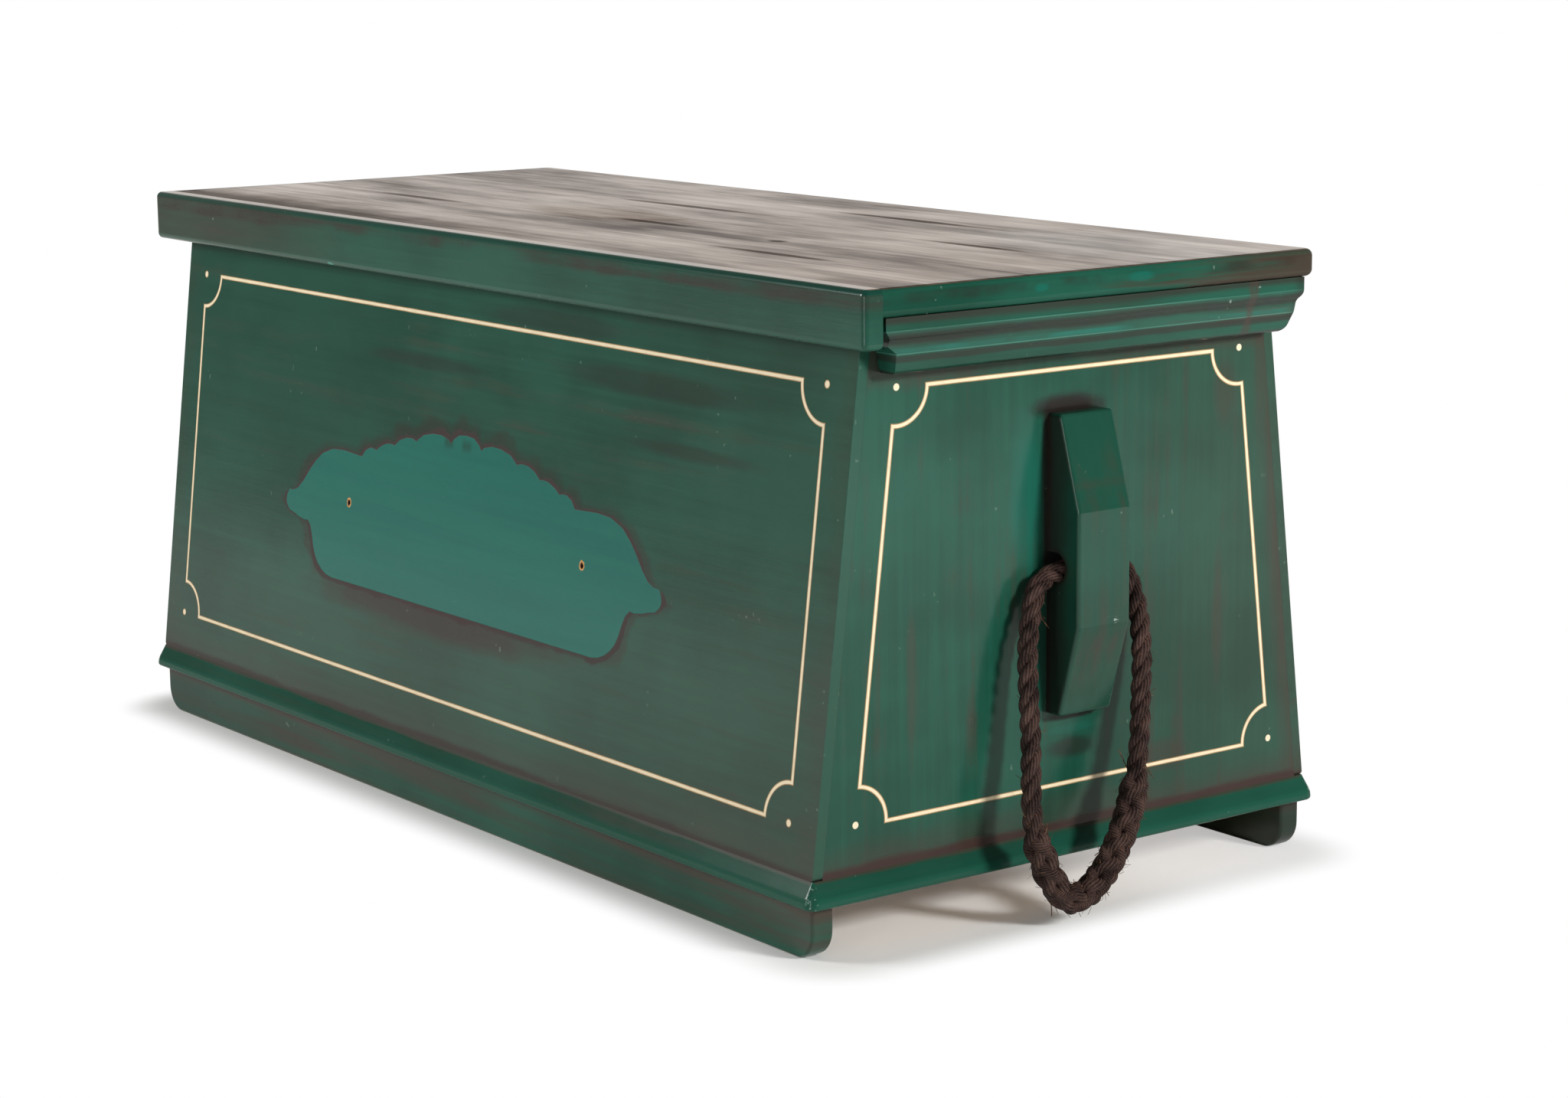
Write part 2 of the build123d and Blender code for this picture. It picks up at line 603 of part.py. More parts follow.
def moulding_edge(face, sign):
    """Draw the moulding's profile as a line, standing back from a face towards -sign."""
    p = {name: (face - sign * back, height) for name, (back, height) in moulding_profile().items()}
    Line(p["top"], p["band"])
    TangentArc(p["band"], p["ogee_middle"], tangent=(0, -1))
    TangentArc(p["ogee_foot"], p["ogee_middle"], tangent=(0, 1))
    Line(p["ogee_foot"], p["arris"])
    Line(p["arris"], p["lobe_foot"])
    slope = (p["lobe_foot"][0] - p["arris"][0], p["lobe_foot"][1] - p["arris"][1])
    TangentArc(p["lobe_foot"], p["foot"], tangent=slope)
    return p


def lid_moulding(side):
    """Moulding under the lid's left (side -1) or right (side 1) end, returned at its ends."""
    with BuildPart() as strip:
        with BuildSketch(Plane.XZ.offset(-MOULDING_MIDDLE)):
            with BuildLine():
                p = moulding_edge(side * MOULDING_FACE, side)
                Polyline(
                    p["foot"],
                    (side * MOULDING_BACK_FACE, MOULDING_BOTTOM),
                    (side * MOULDING_BACK_FACE, LID_UNDER),
                    p["top"],
                )
            make_face()
        extrude(amount=(MOULDING_REAR - MOULDING_FRONT) / 2, both=True)
        with BuildSketch(Plane.YZ.offset(side * MOULDING_BACK_FACE)):
            with BuildLine():
                p = moulding_edge(MOULDING_REAR, 1)
                front = [(MOULDING_FRONT + back, LID_UNDER - drop) for back, drop in MOULDING_FRONT_END]
                Polyline(p["top"], *front, p["foot"])
            make_face()
        extrude(amount=side * (MOULDING_FACE - MOULDING_BACK_FACE), mode=Mode.INTERSECT)
        place(MOULDING_SCREW_HOLE, moulding_screw_planes(side), Mode.SUBTRACT)
    return strip.part


def knuckle_spans(first):
    """Start and length along the hinge of every second knuckle."""
    pitch = HINGE_LENGTH / KNUCKLE_COUNT
    return [(i * pitch, pitch) for i in range(first, KNUCKLE_COUNT, 2)]


def hinge_leaf(centre, first, plate_bottom, screws):
    """One leaf of a butt hinge with its own knuckles; the other leaf's are notched out."""
    start = centre - HINGE_LENGTH / 2
    with BuildPart() as leaf:
        with BuildSketch(Plane.XY.offset(plate_bottom)):
            with Locations((centre, LEAF_EDGE_Y)):
                Rectangle(HINGE_LENGTH, HINGE_AXIS_Y - LEAF_EDGE_Y, align=(Align.CENTER, Align.MIN))
        extrude(amount=LEAF_THICKNESS)
        for offset, length in knuckle_spans(1 - first):
            with BuildSketch(Plane.YZ.offset(start + offset - KNUCKLE_GAP / 2)):
                with Locations((HINGE_AXIS_Y, HINGE_AXIS_Z)):
                    Rectangle(2 * (BARREL_RADIUS + KNUCKLE_GAP), 4 * BARREL_RADIUS)
            extrude(amount=length + KNUCKLE_GAP, mode=Mode.SUBTRACT)
        for offset, length in knuckle_spans(first):
            with BuildSketch(Plane.YZ.offset(start + offset + KNUCKLE_GAP / 2)):
                with Locations((HINGE_AXIS_Y, HINGE_AXIS_Z)):
                    Circle(BARREL_RADIUS)
            extrude(amount=length - KNUCKLE_GAP)
        with BuildSketch(Plane.YZ.offset(start)):
            with Locations((HINGE_AXIS_Y, HINGE_AXIS_Z)):
                Circle(PIN_RADIUS + PIN_CLEARANCE)
        extrude(amount=HINGE_LENGTH, mode=Mode.SUBTRACT)
        place(HINGE_SCREW_HOLE, screws, Mode.SUBTRACT)
    return leaf.part


def hinge_pin(centre):
    """Pin through one hinge's barrel, with a flat head at each end."""
    start = centre - HINGE_LENGTH / 2
    with BuildPart() as pin:
        with BuildSketch(Plane.YZ.offset(start)):
            with Locations((HINGE_AXIS_Y, HINGE_AXIS_Z)):
                Circle(PIN_RADIUS)
        extrude(amount=HINGE_LENGTH)
        for x in (start - PIN_HEAD, start + HINGE_LENGTH):
            with BuildSketch(Plane.YZ.offset(x)):
                with Locations((HINGE_AXIS_Y, HINGE_AXIS_Z)):
                    Circle(BARREL_RADIUS)
            extrude(amount=PIN_HEAD)
    return pin.part


def screw_group(shape, planes):
    """Identical screws, each a separate solid."""
    with BuildPart() as group:
        place(shape, planes)
    return group.part


save(long_panel(-1), "front_panel")
save(long_panel(1), "back_panel")
save(base_board(), "base_board")
save(skid(-1), "skid_front")
save(skid(1), "skid_back")
save(lid_front_rail(), "lid_front_rail")
for board_index in range(LID_BOARD_COUNT):
    save(lid_board(board_index), f"lid_board_{board_index + 1}")
for name, side in (("left", -1), ("right", 1)):
    save(end_panel(side), f"end_panel_{name}")
    save(cleat(side), f"becket_cleat_{name}")
    save(becket(side), f"becket_rope_{name}")
    save(lid_moulding(side), f"lid_moulding_{name}")
    centre = side * (CASE_END - HINGE_INSET)
    case_screws = hinge_screw_planes(centre, CASE_LEAF_TOP, 1)
    lid_screws = hinge_screw_planes(centre, LID_LEAF_UNDER, -1)
    save(hinge_leaf(centre, 0, MORTISE_FLOOR, case_screws), f"hinge_case_leaf_{name}")
    save(hinge_leaf(centre, 1, LID_LEAF_UNDER, lid_screws), f"hinge_lid_leaf_{name}")
    save(hinge_pin(centre), f"hinge_pin_{name}")
save(screw_group(HINGE_SCREW, CASE_HINGE_SCREWS), "hinge_case_screws")
save(screw_group(HINGE_SCREW, LID_HINGE_SCREWS), "hinge_lid_screws")
save(screw_group(SKID_SCREW, skid_screw_planes(-1) + skid_screw_planes(1)), "skid_screws")
save(screw_group(END_SCREW, end_screw_planes(-1) + end_screw_planes(1)), "end_panel_screws")
save(screw_group(CLEAT_SCREW, cleat_screw_planes(-1) + cleat_screw_planes(1)), "cleat_screws")
save(
    screw_group(MOULDING_SCREW, moulding_screw_planes(-1) + moulding_screw_planes(1)),
    "moulding_screws",
)
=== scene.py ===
import math
import random

import bmesh
import bpy
from mathutils import Matrix, Vector


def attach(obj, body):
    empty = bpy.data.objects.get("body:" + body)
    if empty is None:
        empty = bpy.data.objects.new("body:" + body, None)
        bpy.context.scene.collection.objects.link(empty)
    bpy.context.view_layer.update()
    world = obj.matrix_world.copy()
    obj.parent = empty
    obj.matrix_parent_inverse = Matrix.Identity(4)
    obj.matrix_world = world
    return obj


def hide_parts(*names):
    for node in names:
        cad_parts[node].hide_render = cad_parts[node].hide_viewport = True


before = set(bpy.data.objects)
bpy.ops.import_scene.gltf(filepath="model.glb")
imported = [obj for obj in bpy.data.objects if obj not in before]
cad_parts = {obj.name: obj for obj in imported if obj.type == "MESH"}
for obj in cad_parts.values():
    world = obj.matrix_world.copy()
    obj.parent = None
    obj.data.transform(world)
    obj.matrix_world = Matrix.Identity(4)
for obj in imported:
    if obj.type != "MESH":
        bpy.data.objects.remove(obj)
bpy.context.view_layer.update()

SIDES = {"right": 1, "left": -1}


# Camera

CAMERA_PLACE = (2.1954, -1.5261, 0.6949)
# In degrees: the turn round the upright, the tilt down and the roll.
CAMERA_TURN, CAMERA_TILT, CAMERA_ROLL = 52.926, 10.761, -0.418
LENS, SHIFT_ACROSS, SHIFT_UP = 77.86, -0.01965, -0.00328


def place_camera():
    """Look at the chest from where the photograph was taken."""
    lens = bpy.data.cameras.new("view")
    lens.sensor_width, lens.lens = 36, LENS
    lens.shift_x, lens.shift_y = SHIFT_ACROSS, SHIFT_UP
    lens.clip_end = 40
    camera = bpy.data.objects.new("view", lens)
    bpy.context.collection.objects.link(camera)
    camera.matrix_world = (
        Matrix.Translation(CAMERA_PLACE)
        @ Matrix.Rotation(math.radians(CAMERA_TURN), 4, "Z")
        @ Matrix.Rotation(math.radians(90 - CAMERA_TILT), 4, "X")
        @ Matrix.Rotation(math.radians(CAMERA_ROLL), 4, "Z")
    )
    bpy.context.scene.camera = camera


# Rope beckets

GROOVE_X, GROOVE_Z = 0.4805, 0.2428
ROPE_DIAMETER, ROPE_LENGTH = 0.014, 0.568
ROPE_LEAN = math.tan(math.radians(8.5))
# Places across the end panel, and heights over the groove, round the ring from the groove's middle.
ROPE_ROUTE = [
    (0, 0), (-0.038, 0.002), (-0.0515, -0.029), (-0.0575, -0.061), (-0.059, -0.099), (-0.0625, -0.134),
    (-0.066, -0.161), (-0.0615, -0.187), (-0.0505, -0.2145), (-0.034, -0.226), (-0.011, -0.215),
    (0.009, -0.195), (0.0255, -0.167), (0.0355, -0.137), (0.0425, -0.098), (0.049, -0.056),
    (0.046, -0.027), (0.037, 0.002), (0, 0),
]
# The length of one turn of the strands, their radius, and the radius that they turn at.
LAY, STRAND_RADIUS, STRAND_ORBIT = 0.040, 0.00365, 0.0037
SPLICE_START, SPLICE_END, SPLICE_TAPER = 0.208, 0.386, 0.014
SPLICE_LAY, TUCK_RADIUS, TUCK_ORBIT, TUCK_WEAVE = 0.058, 0.0043, 0.0057, 0.0009
FIBRE_TRIES, FIBRE_STEPS, YARN_RADIUS = 340, 5, 0.00035
# Where a fibre leaves the rope, how near to the end panel it may come, and how much the splice adds to each.
FIBRE_ROOT, FIBRE_ROOT_SPLICE, FIBRE_REACH, FIBRE_REACH_SPLICE = 0.0062, 0.0036, 0.0076, 0.003
FLOOR_GAP = 0.0008
# Where yarns stand off the rope: distance along it, share of a turn round it, length.
LOOSE_YARNS = [
    (0.062, 0.55, 0.011), (0.209, 0.3, 0.014), (0.214, 0.72, 0.010), (0.262, 0.1, 0.012),
    (0.318, 0.5, 0.009), (0.384, 0.35, 0.016), (0.390, 0.8, 0.012), (0.412, 0.15, 0.019),
]


def link(name, data):
    """Put a piece with this mesh or curve in the scene."""
    piece = bpy.data.objects.new(name, data)
    bpy.context.collection.objects.link(piece)
    return piece


def as_mesh(data):
    """Return a curve's mesh and drop the curve."""
    curve = bpy.data.objects.new("shaping", data)
    mesh = bpy.data.meshes.new_from_object(curve)
    bpy.data.objects.remove(curve)
    bpy.data.curves.remove(data)
    return mesh


def rope_line(side):
    """Return the points of a becket's centreline, in order."""
    data = bpy.data.curves.new("rope_line", "CURVE")
    data.dimensions = "3D"
    data.resolution_u = 32
    spline = data.splines.new("NURBS")
    spline.points.add(len(ROPE_ROUTE) - 1)
    for point, (across, rise) in zip(spline.points, ROPE_ROUTE):
        point.co = (side * (GROOVE_X - rise * ROPE_LEAN), across, GROOVE_Z + rise, 1)
    spline.order_u = 3
    spline.use_endpoint_u = True
    mesh = as_mesh(data)
    line = [v.co.copy() for v in mesh.vertices]
    bpy.data.meshes.remove(mesh)
    return line


def rope_stations(line):
    """Return each point of a line with its distance along it and two directions across it."""
    along, stations = 0, []
    across = Vector((0, 0, 1))
    for i, point in enumerate(line):
        before, after = line[max(i - 1, 0)], line[min(i + 1, len(line) - 1)]
        tangent = (after - before).normalized()
        across = (across - tangent * across.dot(tangent)).normalized()
        if i:
            along += (point - line[i - 1]).length
        stations.append((along, point, across.copy(), tangent.cross(across)))
    return stations


def ramp(value, low, high):
    """Rise smoothly from 0 at low to 1 at high."""
    share = min(max((value - low) / (high - low), 0), 1)
    return share * share * (3 - 2 * share)


def splice_share(along):
    """Return how much of the splice there is at a distance along the rope, from 0 to 1."""
    return ramp(along, SPLICE_START, SPLICE_START + SPLICE_TAPER) * (
        1 - ramp(along, SPLICE_END - SPLICE_TAPER, SPLICE_END)
    )


def lay_strands(name, paths):
    """Return one mesh of strands, each given by its points and its radius at each of them."""
    data = bpy.data.curves.new(name, "CURVE")
    data.dimensions = "3D"
    data.bevel_depth = 1
    data.bevel_resolution = 5
    data.use_fill_caps = True
    for points, radii in paths:
        spline = data.splines.new("POLY")
        spline.points.add(len(points) - 1)
        for point, place, radius in zip(spline.points, points, radii):
            point.co = (*place, 1)
            point.radius = radius
    return as_mesh(data)


def rope_twists(stations):
    """Return how many turns the rope's strands and the tucked ones have made at each station."""
    laid = tucked = last = 0
    twists = []
    for along, *_ in stations:
        laid += (along - last) / (LAY + splice_share(along) * (SPLICE_LAY - LAY))
        tucked -= (along - last) / SPLICE_LAY
        last = along
        twists.append((laid, tucked))
    return twists


def rope_strands(stations):
    """Return the three strands of the rope, and the three tucked ones that swell its splice."""
    laid_paths, tucked_paths = [], []
    for strand in range(3):
        laid_points, laid_radii, tucked_points, tucked_radii = [], [], [], []
        for (along, middle, u, v), (laid, tucked) in zip(stations, rope_twists(stations)):
            share = splice_share(along)
            weave = TUCK_WEAVE * math.cos(3 * math.pi * (laid - tucked))
            lump = 1 + 0.03 * math.sin(along * 310 + strand * 2)
            turn = 2 * math.pi * (laid + strand / 3)
            orbit = STRAND_ORBIT + share * (TUCK_ORBIT - STRAND_ORBIT - weave)
            laid_points.append(middle + orbit * (math.cos(turn) * u + math.sin(turn) * v))
            laid_radii.append((STRAND_RADIUS + share * (TUCK_RADIUS - STRAND_RADIUS)) * lump)
            if SPLICE_START - 0.004 < along < SPLICE_END + 0.004:
                turn = 2 * math.pi * (tucked + strand / 3)
                orbit = share * (TUCK_ORBIT + weave)
                tucked_points.append(middle + orbit * (math.cos(turn) * u + math.sin(turn) * v))
                tucked_radii.append(TUCK_RADIUS * lump * (0.25 + 0.75 * share))
        laid_paths.append((laid_points, laid_radii))
        tucked_paths.append((tucked_points, tucked_radii))
    return laid_paths + tucked_paths


def whisker(station, turn, lean, length, bow, thickness):
    """Return one loose fibre that stands off the rope and flattens where it would reach the end panel."""
    along, middle, u, v = station
    out = math.cos(turn) * u + math.sin(turn) * v
    tangent = u.cross(v)
    side = tangent.cross(out)
    start = middle + out * (FIBRE_ROOT + FIBRE_ROOT_SPLICE * splice_share(along))
    way = (out + lean[0] * tangent + lean[1] * side).normalized()
    nearest = abs(middle.x) - FIBRE_REACH - FIBRE_REACH_SPLICE * splice_share(along)
    points = []
    for step in range(FIBRE_STEPS + 1):
        share = step / FIBRE_STEPS
        place = start + way * length * share + side * bow * share * share
        place.z = max(place.z, FLOOR_GAP)
        place.x = math.copysign(max(abs(place.x), nearest), middle.x)
        points.append(place)
    return points, [thickness] * FIBRE_STEPS + [thickness * 0.5]


def rope_whiskers(stations, chance):
    """Return the loose fibres and yarns of the rope, thickest about its splice."""
    paths = []
    for _ in range(FIBRE_TRIES):
        station = stations[chance.randrange(14, len(stations) - 14)]
        if chance.random() < 0.45 + 0.55 * splice_share(station[0]):
            lean = chance.choice((-1, 1)) * chance.uniform(0.3, 1.6), chance.uniform(-0.8, 0.8)
            length = chance.uniform(0.0015, 0.0065)
            bow = chance.uniform(0.1, 0.6) * length * chance.choice((-1, 1))
            thickness = chance.uniform(0.00009, 0.00018)
            turn = chance.uniform(0, 2 * math.pi)
            paths.append(whisker(station, turn, lean, length, bow, thickness))
    for along, turn, length in LOOSE_YARNS:
        station = min(stations, key=lambda s: abs(s[0] - along))
        lean = chance.choice((-1, 1)) * chance.uniform(1.2, 2.2), chance.uniform(-0.6, 0.6)
        paths.append(whisker(station, 2 * math.pi * turn, lean, length, length * 0.4, YARN_RADIUS))
    return paths


def make_becket(side_name, side, rope_finish, whisker_finish):
    """Make one spliced rope ring with its loose fibres."""
    chance = random.Random(11 + side)
    line = rope_line(side)
    stations = rope_stations(line)
    rope = link(f"spliced_rope_{side_name}", lay_strands("spliced_rope", rope_strands(stations)))
    rope.data.materials.append(rope_finish)
    fibres = lay_strands("rope_whiskers", rope_whiskers(stations, chance))
    whiskers = link(f"rope_whiskers_{side_name}", fibres)
    whiskers.data.materials.append(whisker_finish)
    for piece in (rope, whiskers):
        for polygon in piece.data.polygons:
            polygon.use_smooth = True
        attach(piece, f"becket_{side_name}")
    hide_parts(f"becket_rope_{side_name}")


# Finishes

def rgb(red, green, blue):
    """Return a colour given from 0 to 255 as the shader's linear colour."""
    shares = (red / 255, green / 255, blue / 255)
    return (*((c / 12.92 if c <= 0.04045 else ((c + 0.055) / 1.055) ** 2.4) for c in shares), 1)


DEEP_GREEN, FRESH_GREEN = rgb(20, 64, 50), rgb(30, 82, 66)
BARE_TEAL, BRIGHT_TEAL = rgb(10, 94, 84), rgb(18, 102, 88)
BROWN_GLAZE, DARK_GLAZE = rgb(66, 50, 43), rgb(38, 29, 27)
CREAM, STRIPE_EDGE = rgb(233, 217, 184), rgb(168, 134, 88)
PALE_PINE, DARK_PINE = rgb(214, 182, 136), rgb(171, 126, 78)
SATIN_COAT = 0.08
# The case in millimetres, its depth at its foot, and how far its front and back lean in over their height.
CASE_HALF_LENGTH, CASE_HALF_DEPTH, CASE_FOOT, CASE_TOP = 471, 227, 56.5, 430
PANEL_LEAN = 0.119143
# The lid in millimetres: the seam next to its middle, and how wide its boards are.
LID_SEAM, LID_BOARD_WIDTH = 6.5, 97.75


class Value:
    """A number in a shader. Arithmetic on it adds the Math nodes."""

    def __init__(self, maker, socket):
        self.maker, self.socket = maker, socket

    def __add__(self, other):
        return self.maker.work("ADD", self, other)

    def __sub__(self, other):
        return self.maker.work("SUBTRACT", self, other)

    def __rsub__(self, other):
        return self.maker.work("SUBTRACT", other, self)

    def __mul__(self, other):
        return self.maker.work("MULTIPLY", self, other)

    def __truediv__(self, other):
        return self.maker.work("DIVIDE", self, other)

    def __abs__(self):
        return self.maker.work("ABSOLUTE", self)

    __radd__, __rmul__ = __add__, __mul__


class Shading:
    """A material's or the world's nodes, written as sums and steps."""

    def __init__(self, tree):
        self.tree = tree

    def node(self, kind, settings=None, inputs=None, output=0):
        """Add a node of this kind, with its settings and its sockets' values or links."""
        node = self.tree.nodes.new("ShaderNode" + kind)
        for name, value in (settings or {}).items():
            if name == "points":
                curve = node.mapping.curves[0]
                for _ in value[2:]:
                    curve.points.new(0, 0)
                for point, (place, height) in zip(curve.points, value):
                    point.location = (place, height)
                    point.handle_type = "VECTOR"
                node.mapping.update()
            else:
                setattr(node, name, value)
        for socket, value in (inputs or {}).items():
            self.join(value, node.inputs[socket])
        return Value(self, node.outputs[output])

    def join(self, value, socket):
        """Give a socket its value or its link."""
        if isinstance(value, Value):
            self.tree.links.new(value.socket, socket)
        else:
            socket.default_value = value

    def split(self, vector):
        """Return a vector's three numbers."""
        apart = self.node("SeparateXYZ", inputs={"Vector": vector})
        return [Value(self, socket) for socket in apart.socket.node.outputs]

    def work(self, operation, *numbers):
        """Return the result of a Math node."""
        return self.node("Math", {"operation": operation}, dict(enumerate(numbers)))

    def least(self, a, b):
        return self.work("MINIMUM", a, b)

    def most(self, a, b):
        return self.work("MAXIMUM", a, b)

    def reach(self, a, b):
        """Return the length of the slope with these two sides."""
        return self.work("SQRT", a * a + b * b)

    def rise(self, value, low, high):
        """Return 0 before low and 1 after high, with a soft step between them."""
        inputs = {"Value": value, "From Min": low, "From Max": high}
        return self.node("MapRange", {"interpolation_type": "SMOOTHSTEP"}, inputs)

    def band(self, value, low, high, soft):
        """Return 1 between low and high, with soft sides."""
        return self.rise(value, low - soft, low + soft) * self.rise(value, high + soft, high - soft)

    def mix(self, share, a, b):
        """Return colour a turned into colour b by this share."""
        return self.node("Mix", {"data_type": "RGBA"}, {0: share, 6: a, 7: b}, 2)


class Finish(Shading):
    """A piece's material, built up in layers. Places and heights are in millimetres."""

    def __init__(self, name, constants):
        self.material = bpy.data.materials.new(name)
        self.material.use_nodes = True
        super().__init__(self.material.node_tree)
        self.shader = self.tree.nodes["Principled BSDF"]
        for socket, value in constants.items():
            self.shader.inputs[socket].default_value = value
        self.place = self.node("TexCoord", output="Object")
        self.x, self.y, self.z = (metres * 1000 for metres in self.split(self.place))
        self.colour, self.rough, self.height, self.coat = None, None, None, None

    def noise(self, size, seed=0, detail=3, roughness=0.55, distortion=0):
        """Return cloudy noise from about -1 to 1, with clouds of this size along x, y and z."""
        place = self.node("Mapping", inputs={
            "Vector": self.place, "Scale": tuple(1000 / s for s in size),
            "Location": (seed, 0.37 * seed, -seed),
        })
        cloud = self.node("TexNoise", inputs={
            "Vector": place, "Scale": 1, "Detail": detail, "Roughness": roughness, "Distortion": distortion,
        })
        return (cloud - 0.5) * 4

    def lay(self, colour, share, rough=None):
        """Cover the colour so far by this share, and with it the roughness."""
        self.colour = self.mix(share, self.colour, colour)
        if rough is not None:
            self.rough = self.rough + share * (rough - self.rough)

    def spot(self, across, up, wide, tall):
        """Return 1 in a soft, ragged oval, from two distances to its middle and its half width and height."""
        ragged = self.reach(across / wide, up / tall) + self.smears * 0.22 + self.streaks * 0.12
        return self.rise(ragged, 1.15, 0.45)

    def done(self):
        """Join the layers to the shader and return the material."""
        self.join(self.colour, self.shader.inputs["Base Color"])
        if self.coat is not None:
            self.join(self.coat, self.shader.inputs["Coat Weight"])
        self.join(self.rough, self.shader.inputs["Roughness"])
        relief = self.node("Bump", inputs={"Strength": 1.0, "Distance": 0.001, "Height": self.height})
        self.join(relief, self.shader.inputs["Normal"])
        return self.material


def along(ways, length, width):
    """Return a size that is long along these axes and narrow along the others."""
    return tuple(length if axis in ways else width for axis in "xyz")


def green_coat(name, ways, gloss=0.28):
    """Start a finish of satin green paint, brushed along these axes and rubbed with a brown glaze."""
    finish = Finish(name, {"Specular IOR Level": gloss, "Coat Weight": SATIN_COAT, "Coat Roughness": 0.08})
    clouds = finish.noise((170, 170, 120), seed=3, detail=3)
    brushing = finish.noise(along(ways, 260, 7), seed=8, detail=4, roughness=0.6)
    finish.colour = finish.mix(
        finish.rise(clouds + brushing * 0.35, -0.9, 0.9), DEEP_GREEN, FRESH_GREEN
    )
    finish.streaks = finish.noise(along(ways, 340, 16), seed=21, detail=5, roughness=0.62)
    finish.smears = finish.noise((90, 90, 60), seed=33, detail=4, roughness=0.6)
    glaze = finish.rise(finish.streaks + finish.smears * 0.5, 0.1, 1.3)
    finish.lay(BROWN_GLAZE, glaze * 0.4)
    finish.rough = 0.21 + brushing * 0.015 + glaze * 0.07
    fine = finish.noise(along(ways, 40, 2.2), seed=5, detail=3)
    finish.height = fine * 0.012 + finish.noise((30, 30, 30), seed=2, detail=2) * 0.03
    return finish


def chips(finish, seed, amount=0.2):
    """Add small pale knocks to a painted finish."""
    specks = finish.noise((4.5, 4.5, 4.5), seed=seed, detail=0)
    some = finish.noise((50, 50, 50), seed=seed + 4, detail=1)
    finish.lay(rgb(150, 170, 158), finish.rise(specks, 1.22, 1.3) * finish.rise(some, 0.3, 0.8) * amount)


def pine(finish, way):
    """Return the colour of bare pine with its grain along one axis."""
    rings = finish.noise(along(way, 420, 15), seed=51, detail=4, roughness=0.55, distortion=0.3)
    fibres = finish.noise(along(way, 60, 1.2), seed=54, detail=2)
    bands = finish.work("SINE", rings * 9) * 0.5 + 0.5
    return finish.mix(finish.rise(bands + fibres * 0.3, 0.0, 1.3) * 0.6, PALE_PINE, DARK_PINE)


def stripe(finish, gap):
    """Draw a hand-lined cream stripe where the gap to its middle is small."""
    wobble = finish.noise((25, 25, 25), seed=61, detail=2) * 0.12
    edge = abs(gap) + wobble
    worn = finish.rise(finish.noise((6, 6, 6), seed=64, detail=3), -1.6, 0.3)
    finish.lay(STRIPE_EDGE, finish.rise(edge, 1.9, 1.4), 0.42)
    finish.lay(CREAM, finish.rise(edge, 1.25, 0.85) * (0.75 + worn * 0.25), 0.42)


def matt_rim(finish):
    """Leave the paint flat on the case's top edge, which the lid covers."""
    rim = finish.rise(finish.z, CASE_TOP - 1.5, CASE_TOP - 0.7)
    finish.coat = (1 - rim) * SATIN_COAT
    finish.rough = finish.rough + rim * 0.5


def panel_depth(finish):
    """Return how far inside the outer face of the leaning front or back a place is."""
    return CASE_HALF_DEPTH - (finish.z - CASE_FOOT) * PANEL_LEAN - abs(finish.y)


def dark_joint(finish):
    """Gather dark glaze in the joint over the base board."""
    finish.lay(DARK_GLAZE, finish.rise(finish.z + finish.smears * 2.5, 63, 58) * 0.9, 0.45)


def bare_inside(finish):
    """Leave the pine bare on the inner side of the leaning front or back."""
    finish.lay(pine(finish, "x"), finish.rise(panel_depth(finish), 19.3, 19.7), 0.62)


PATCH_TOP = [
    (0, 295.5), (11, 294.5), (19, 290), (22, 286.5), (26, 289.5), (37, 291.6), (50, 291.2), (63, 288.5),
    (70, 284.5), (73, 282.4), (79, 284), (88, 283.6), (98, 280.5), (104, 276.5), (105.5, 275.2),
    (110, 276), (117.5, 275.4), (127, 272), (132, 269), (133, 268.2), (136, 269), (142.5, 269.3),
    (150, 266), (155, 260.5), (168, 261.2), (184, 262), (202, 260.9), (218, 255.5), (229, 247.5),
    (237, 240), (246, 230), (254.5, 222.7), (262, 220), (268.5, 219.8), (272.6, 214), (273.5, 200),
    (300, 150),
]
PATCH_BOTTOM = [
    (0, 158.3), (190, 158.3), (199, 159.5), (207, 162.5), (214, 167), (219, 172), (223, 179), (226, 187),
    (229.5, 194.5), (235, 199), (240, 198.2), (250.5, 199.7), (258, 201.8), (265.5, 203), (270.5, 206.5),
    (273.2, 211.5), (274, 240), (300, 290),
]
# The plate's half width, middle height and half height, and the grid that its outline is given on.
PATCH_HALF_WIDTH, PATCH_MIDDLE, PATCH_HALF_HEIGHT = 273, 222, 68
GRID_WIDTH, GRID_LOW, GRID_HEIGHT = 300, 150, 150


def patch_edge(finish, outline, place):
    """Return the height of the plate's upper or lower edge at a distance from its middle."""
    points = [(x / GRID_WIDTH, (z - GRID_LOW) / GRID_HEIGHT) for x, z in outline]
    edge = finish.node("FloatCurve", {"points": points}, {1: place / GRID_WIDTH})
    return edge * GRID_HEIGHT + GRID_LOW


def patch_depth(finish, wide, tall, seed=None, spread=0):
    """Return how far inside the removed plate's outline a place is, the outline grown by wide and tall."""
    if seed is not None:
        ragged = finish.noise((26, 26, 22), seed=seed, detail=3) * spread + 1
        wide, tall = ragged * wide, ragged * tall
    place = abs(finish.x) * (1 - wide / PATCH_HALF_WIDTH)
    height = PATCH_MIDDLE + (finish.z - PATCH_MIDDLE) * (1 - tall / PATCH_HALF_HEIGHT)
    top, bottom = patch_edge(finish, PATCH_TOP, place), patch_edge(finish, PATCH_BOTTOM, place)
    return finish.least(top - height, height - bottom)


HOLE_ACROSS, HOLE_HEIGHT = 170, 221.5
# The front's lining: its half length, middle height, half height and the radius of its hollow corners.
LINING_HALF_LENGTH, LINING_MIDDLE, LINING_HALF_HEIGHT, LINING_HOLLOW = 439.5, 236, 146, 27


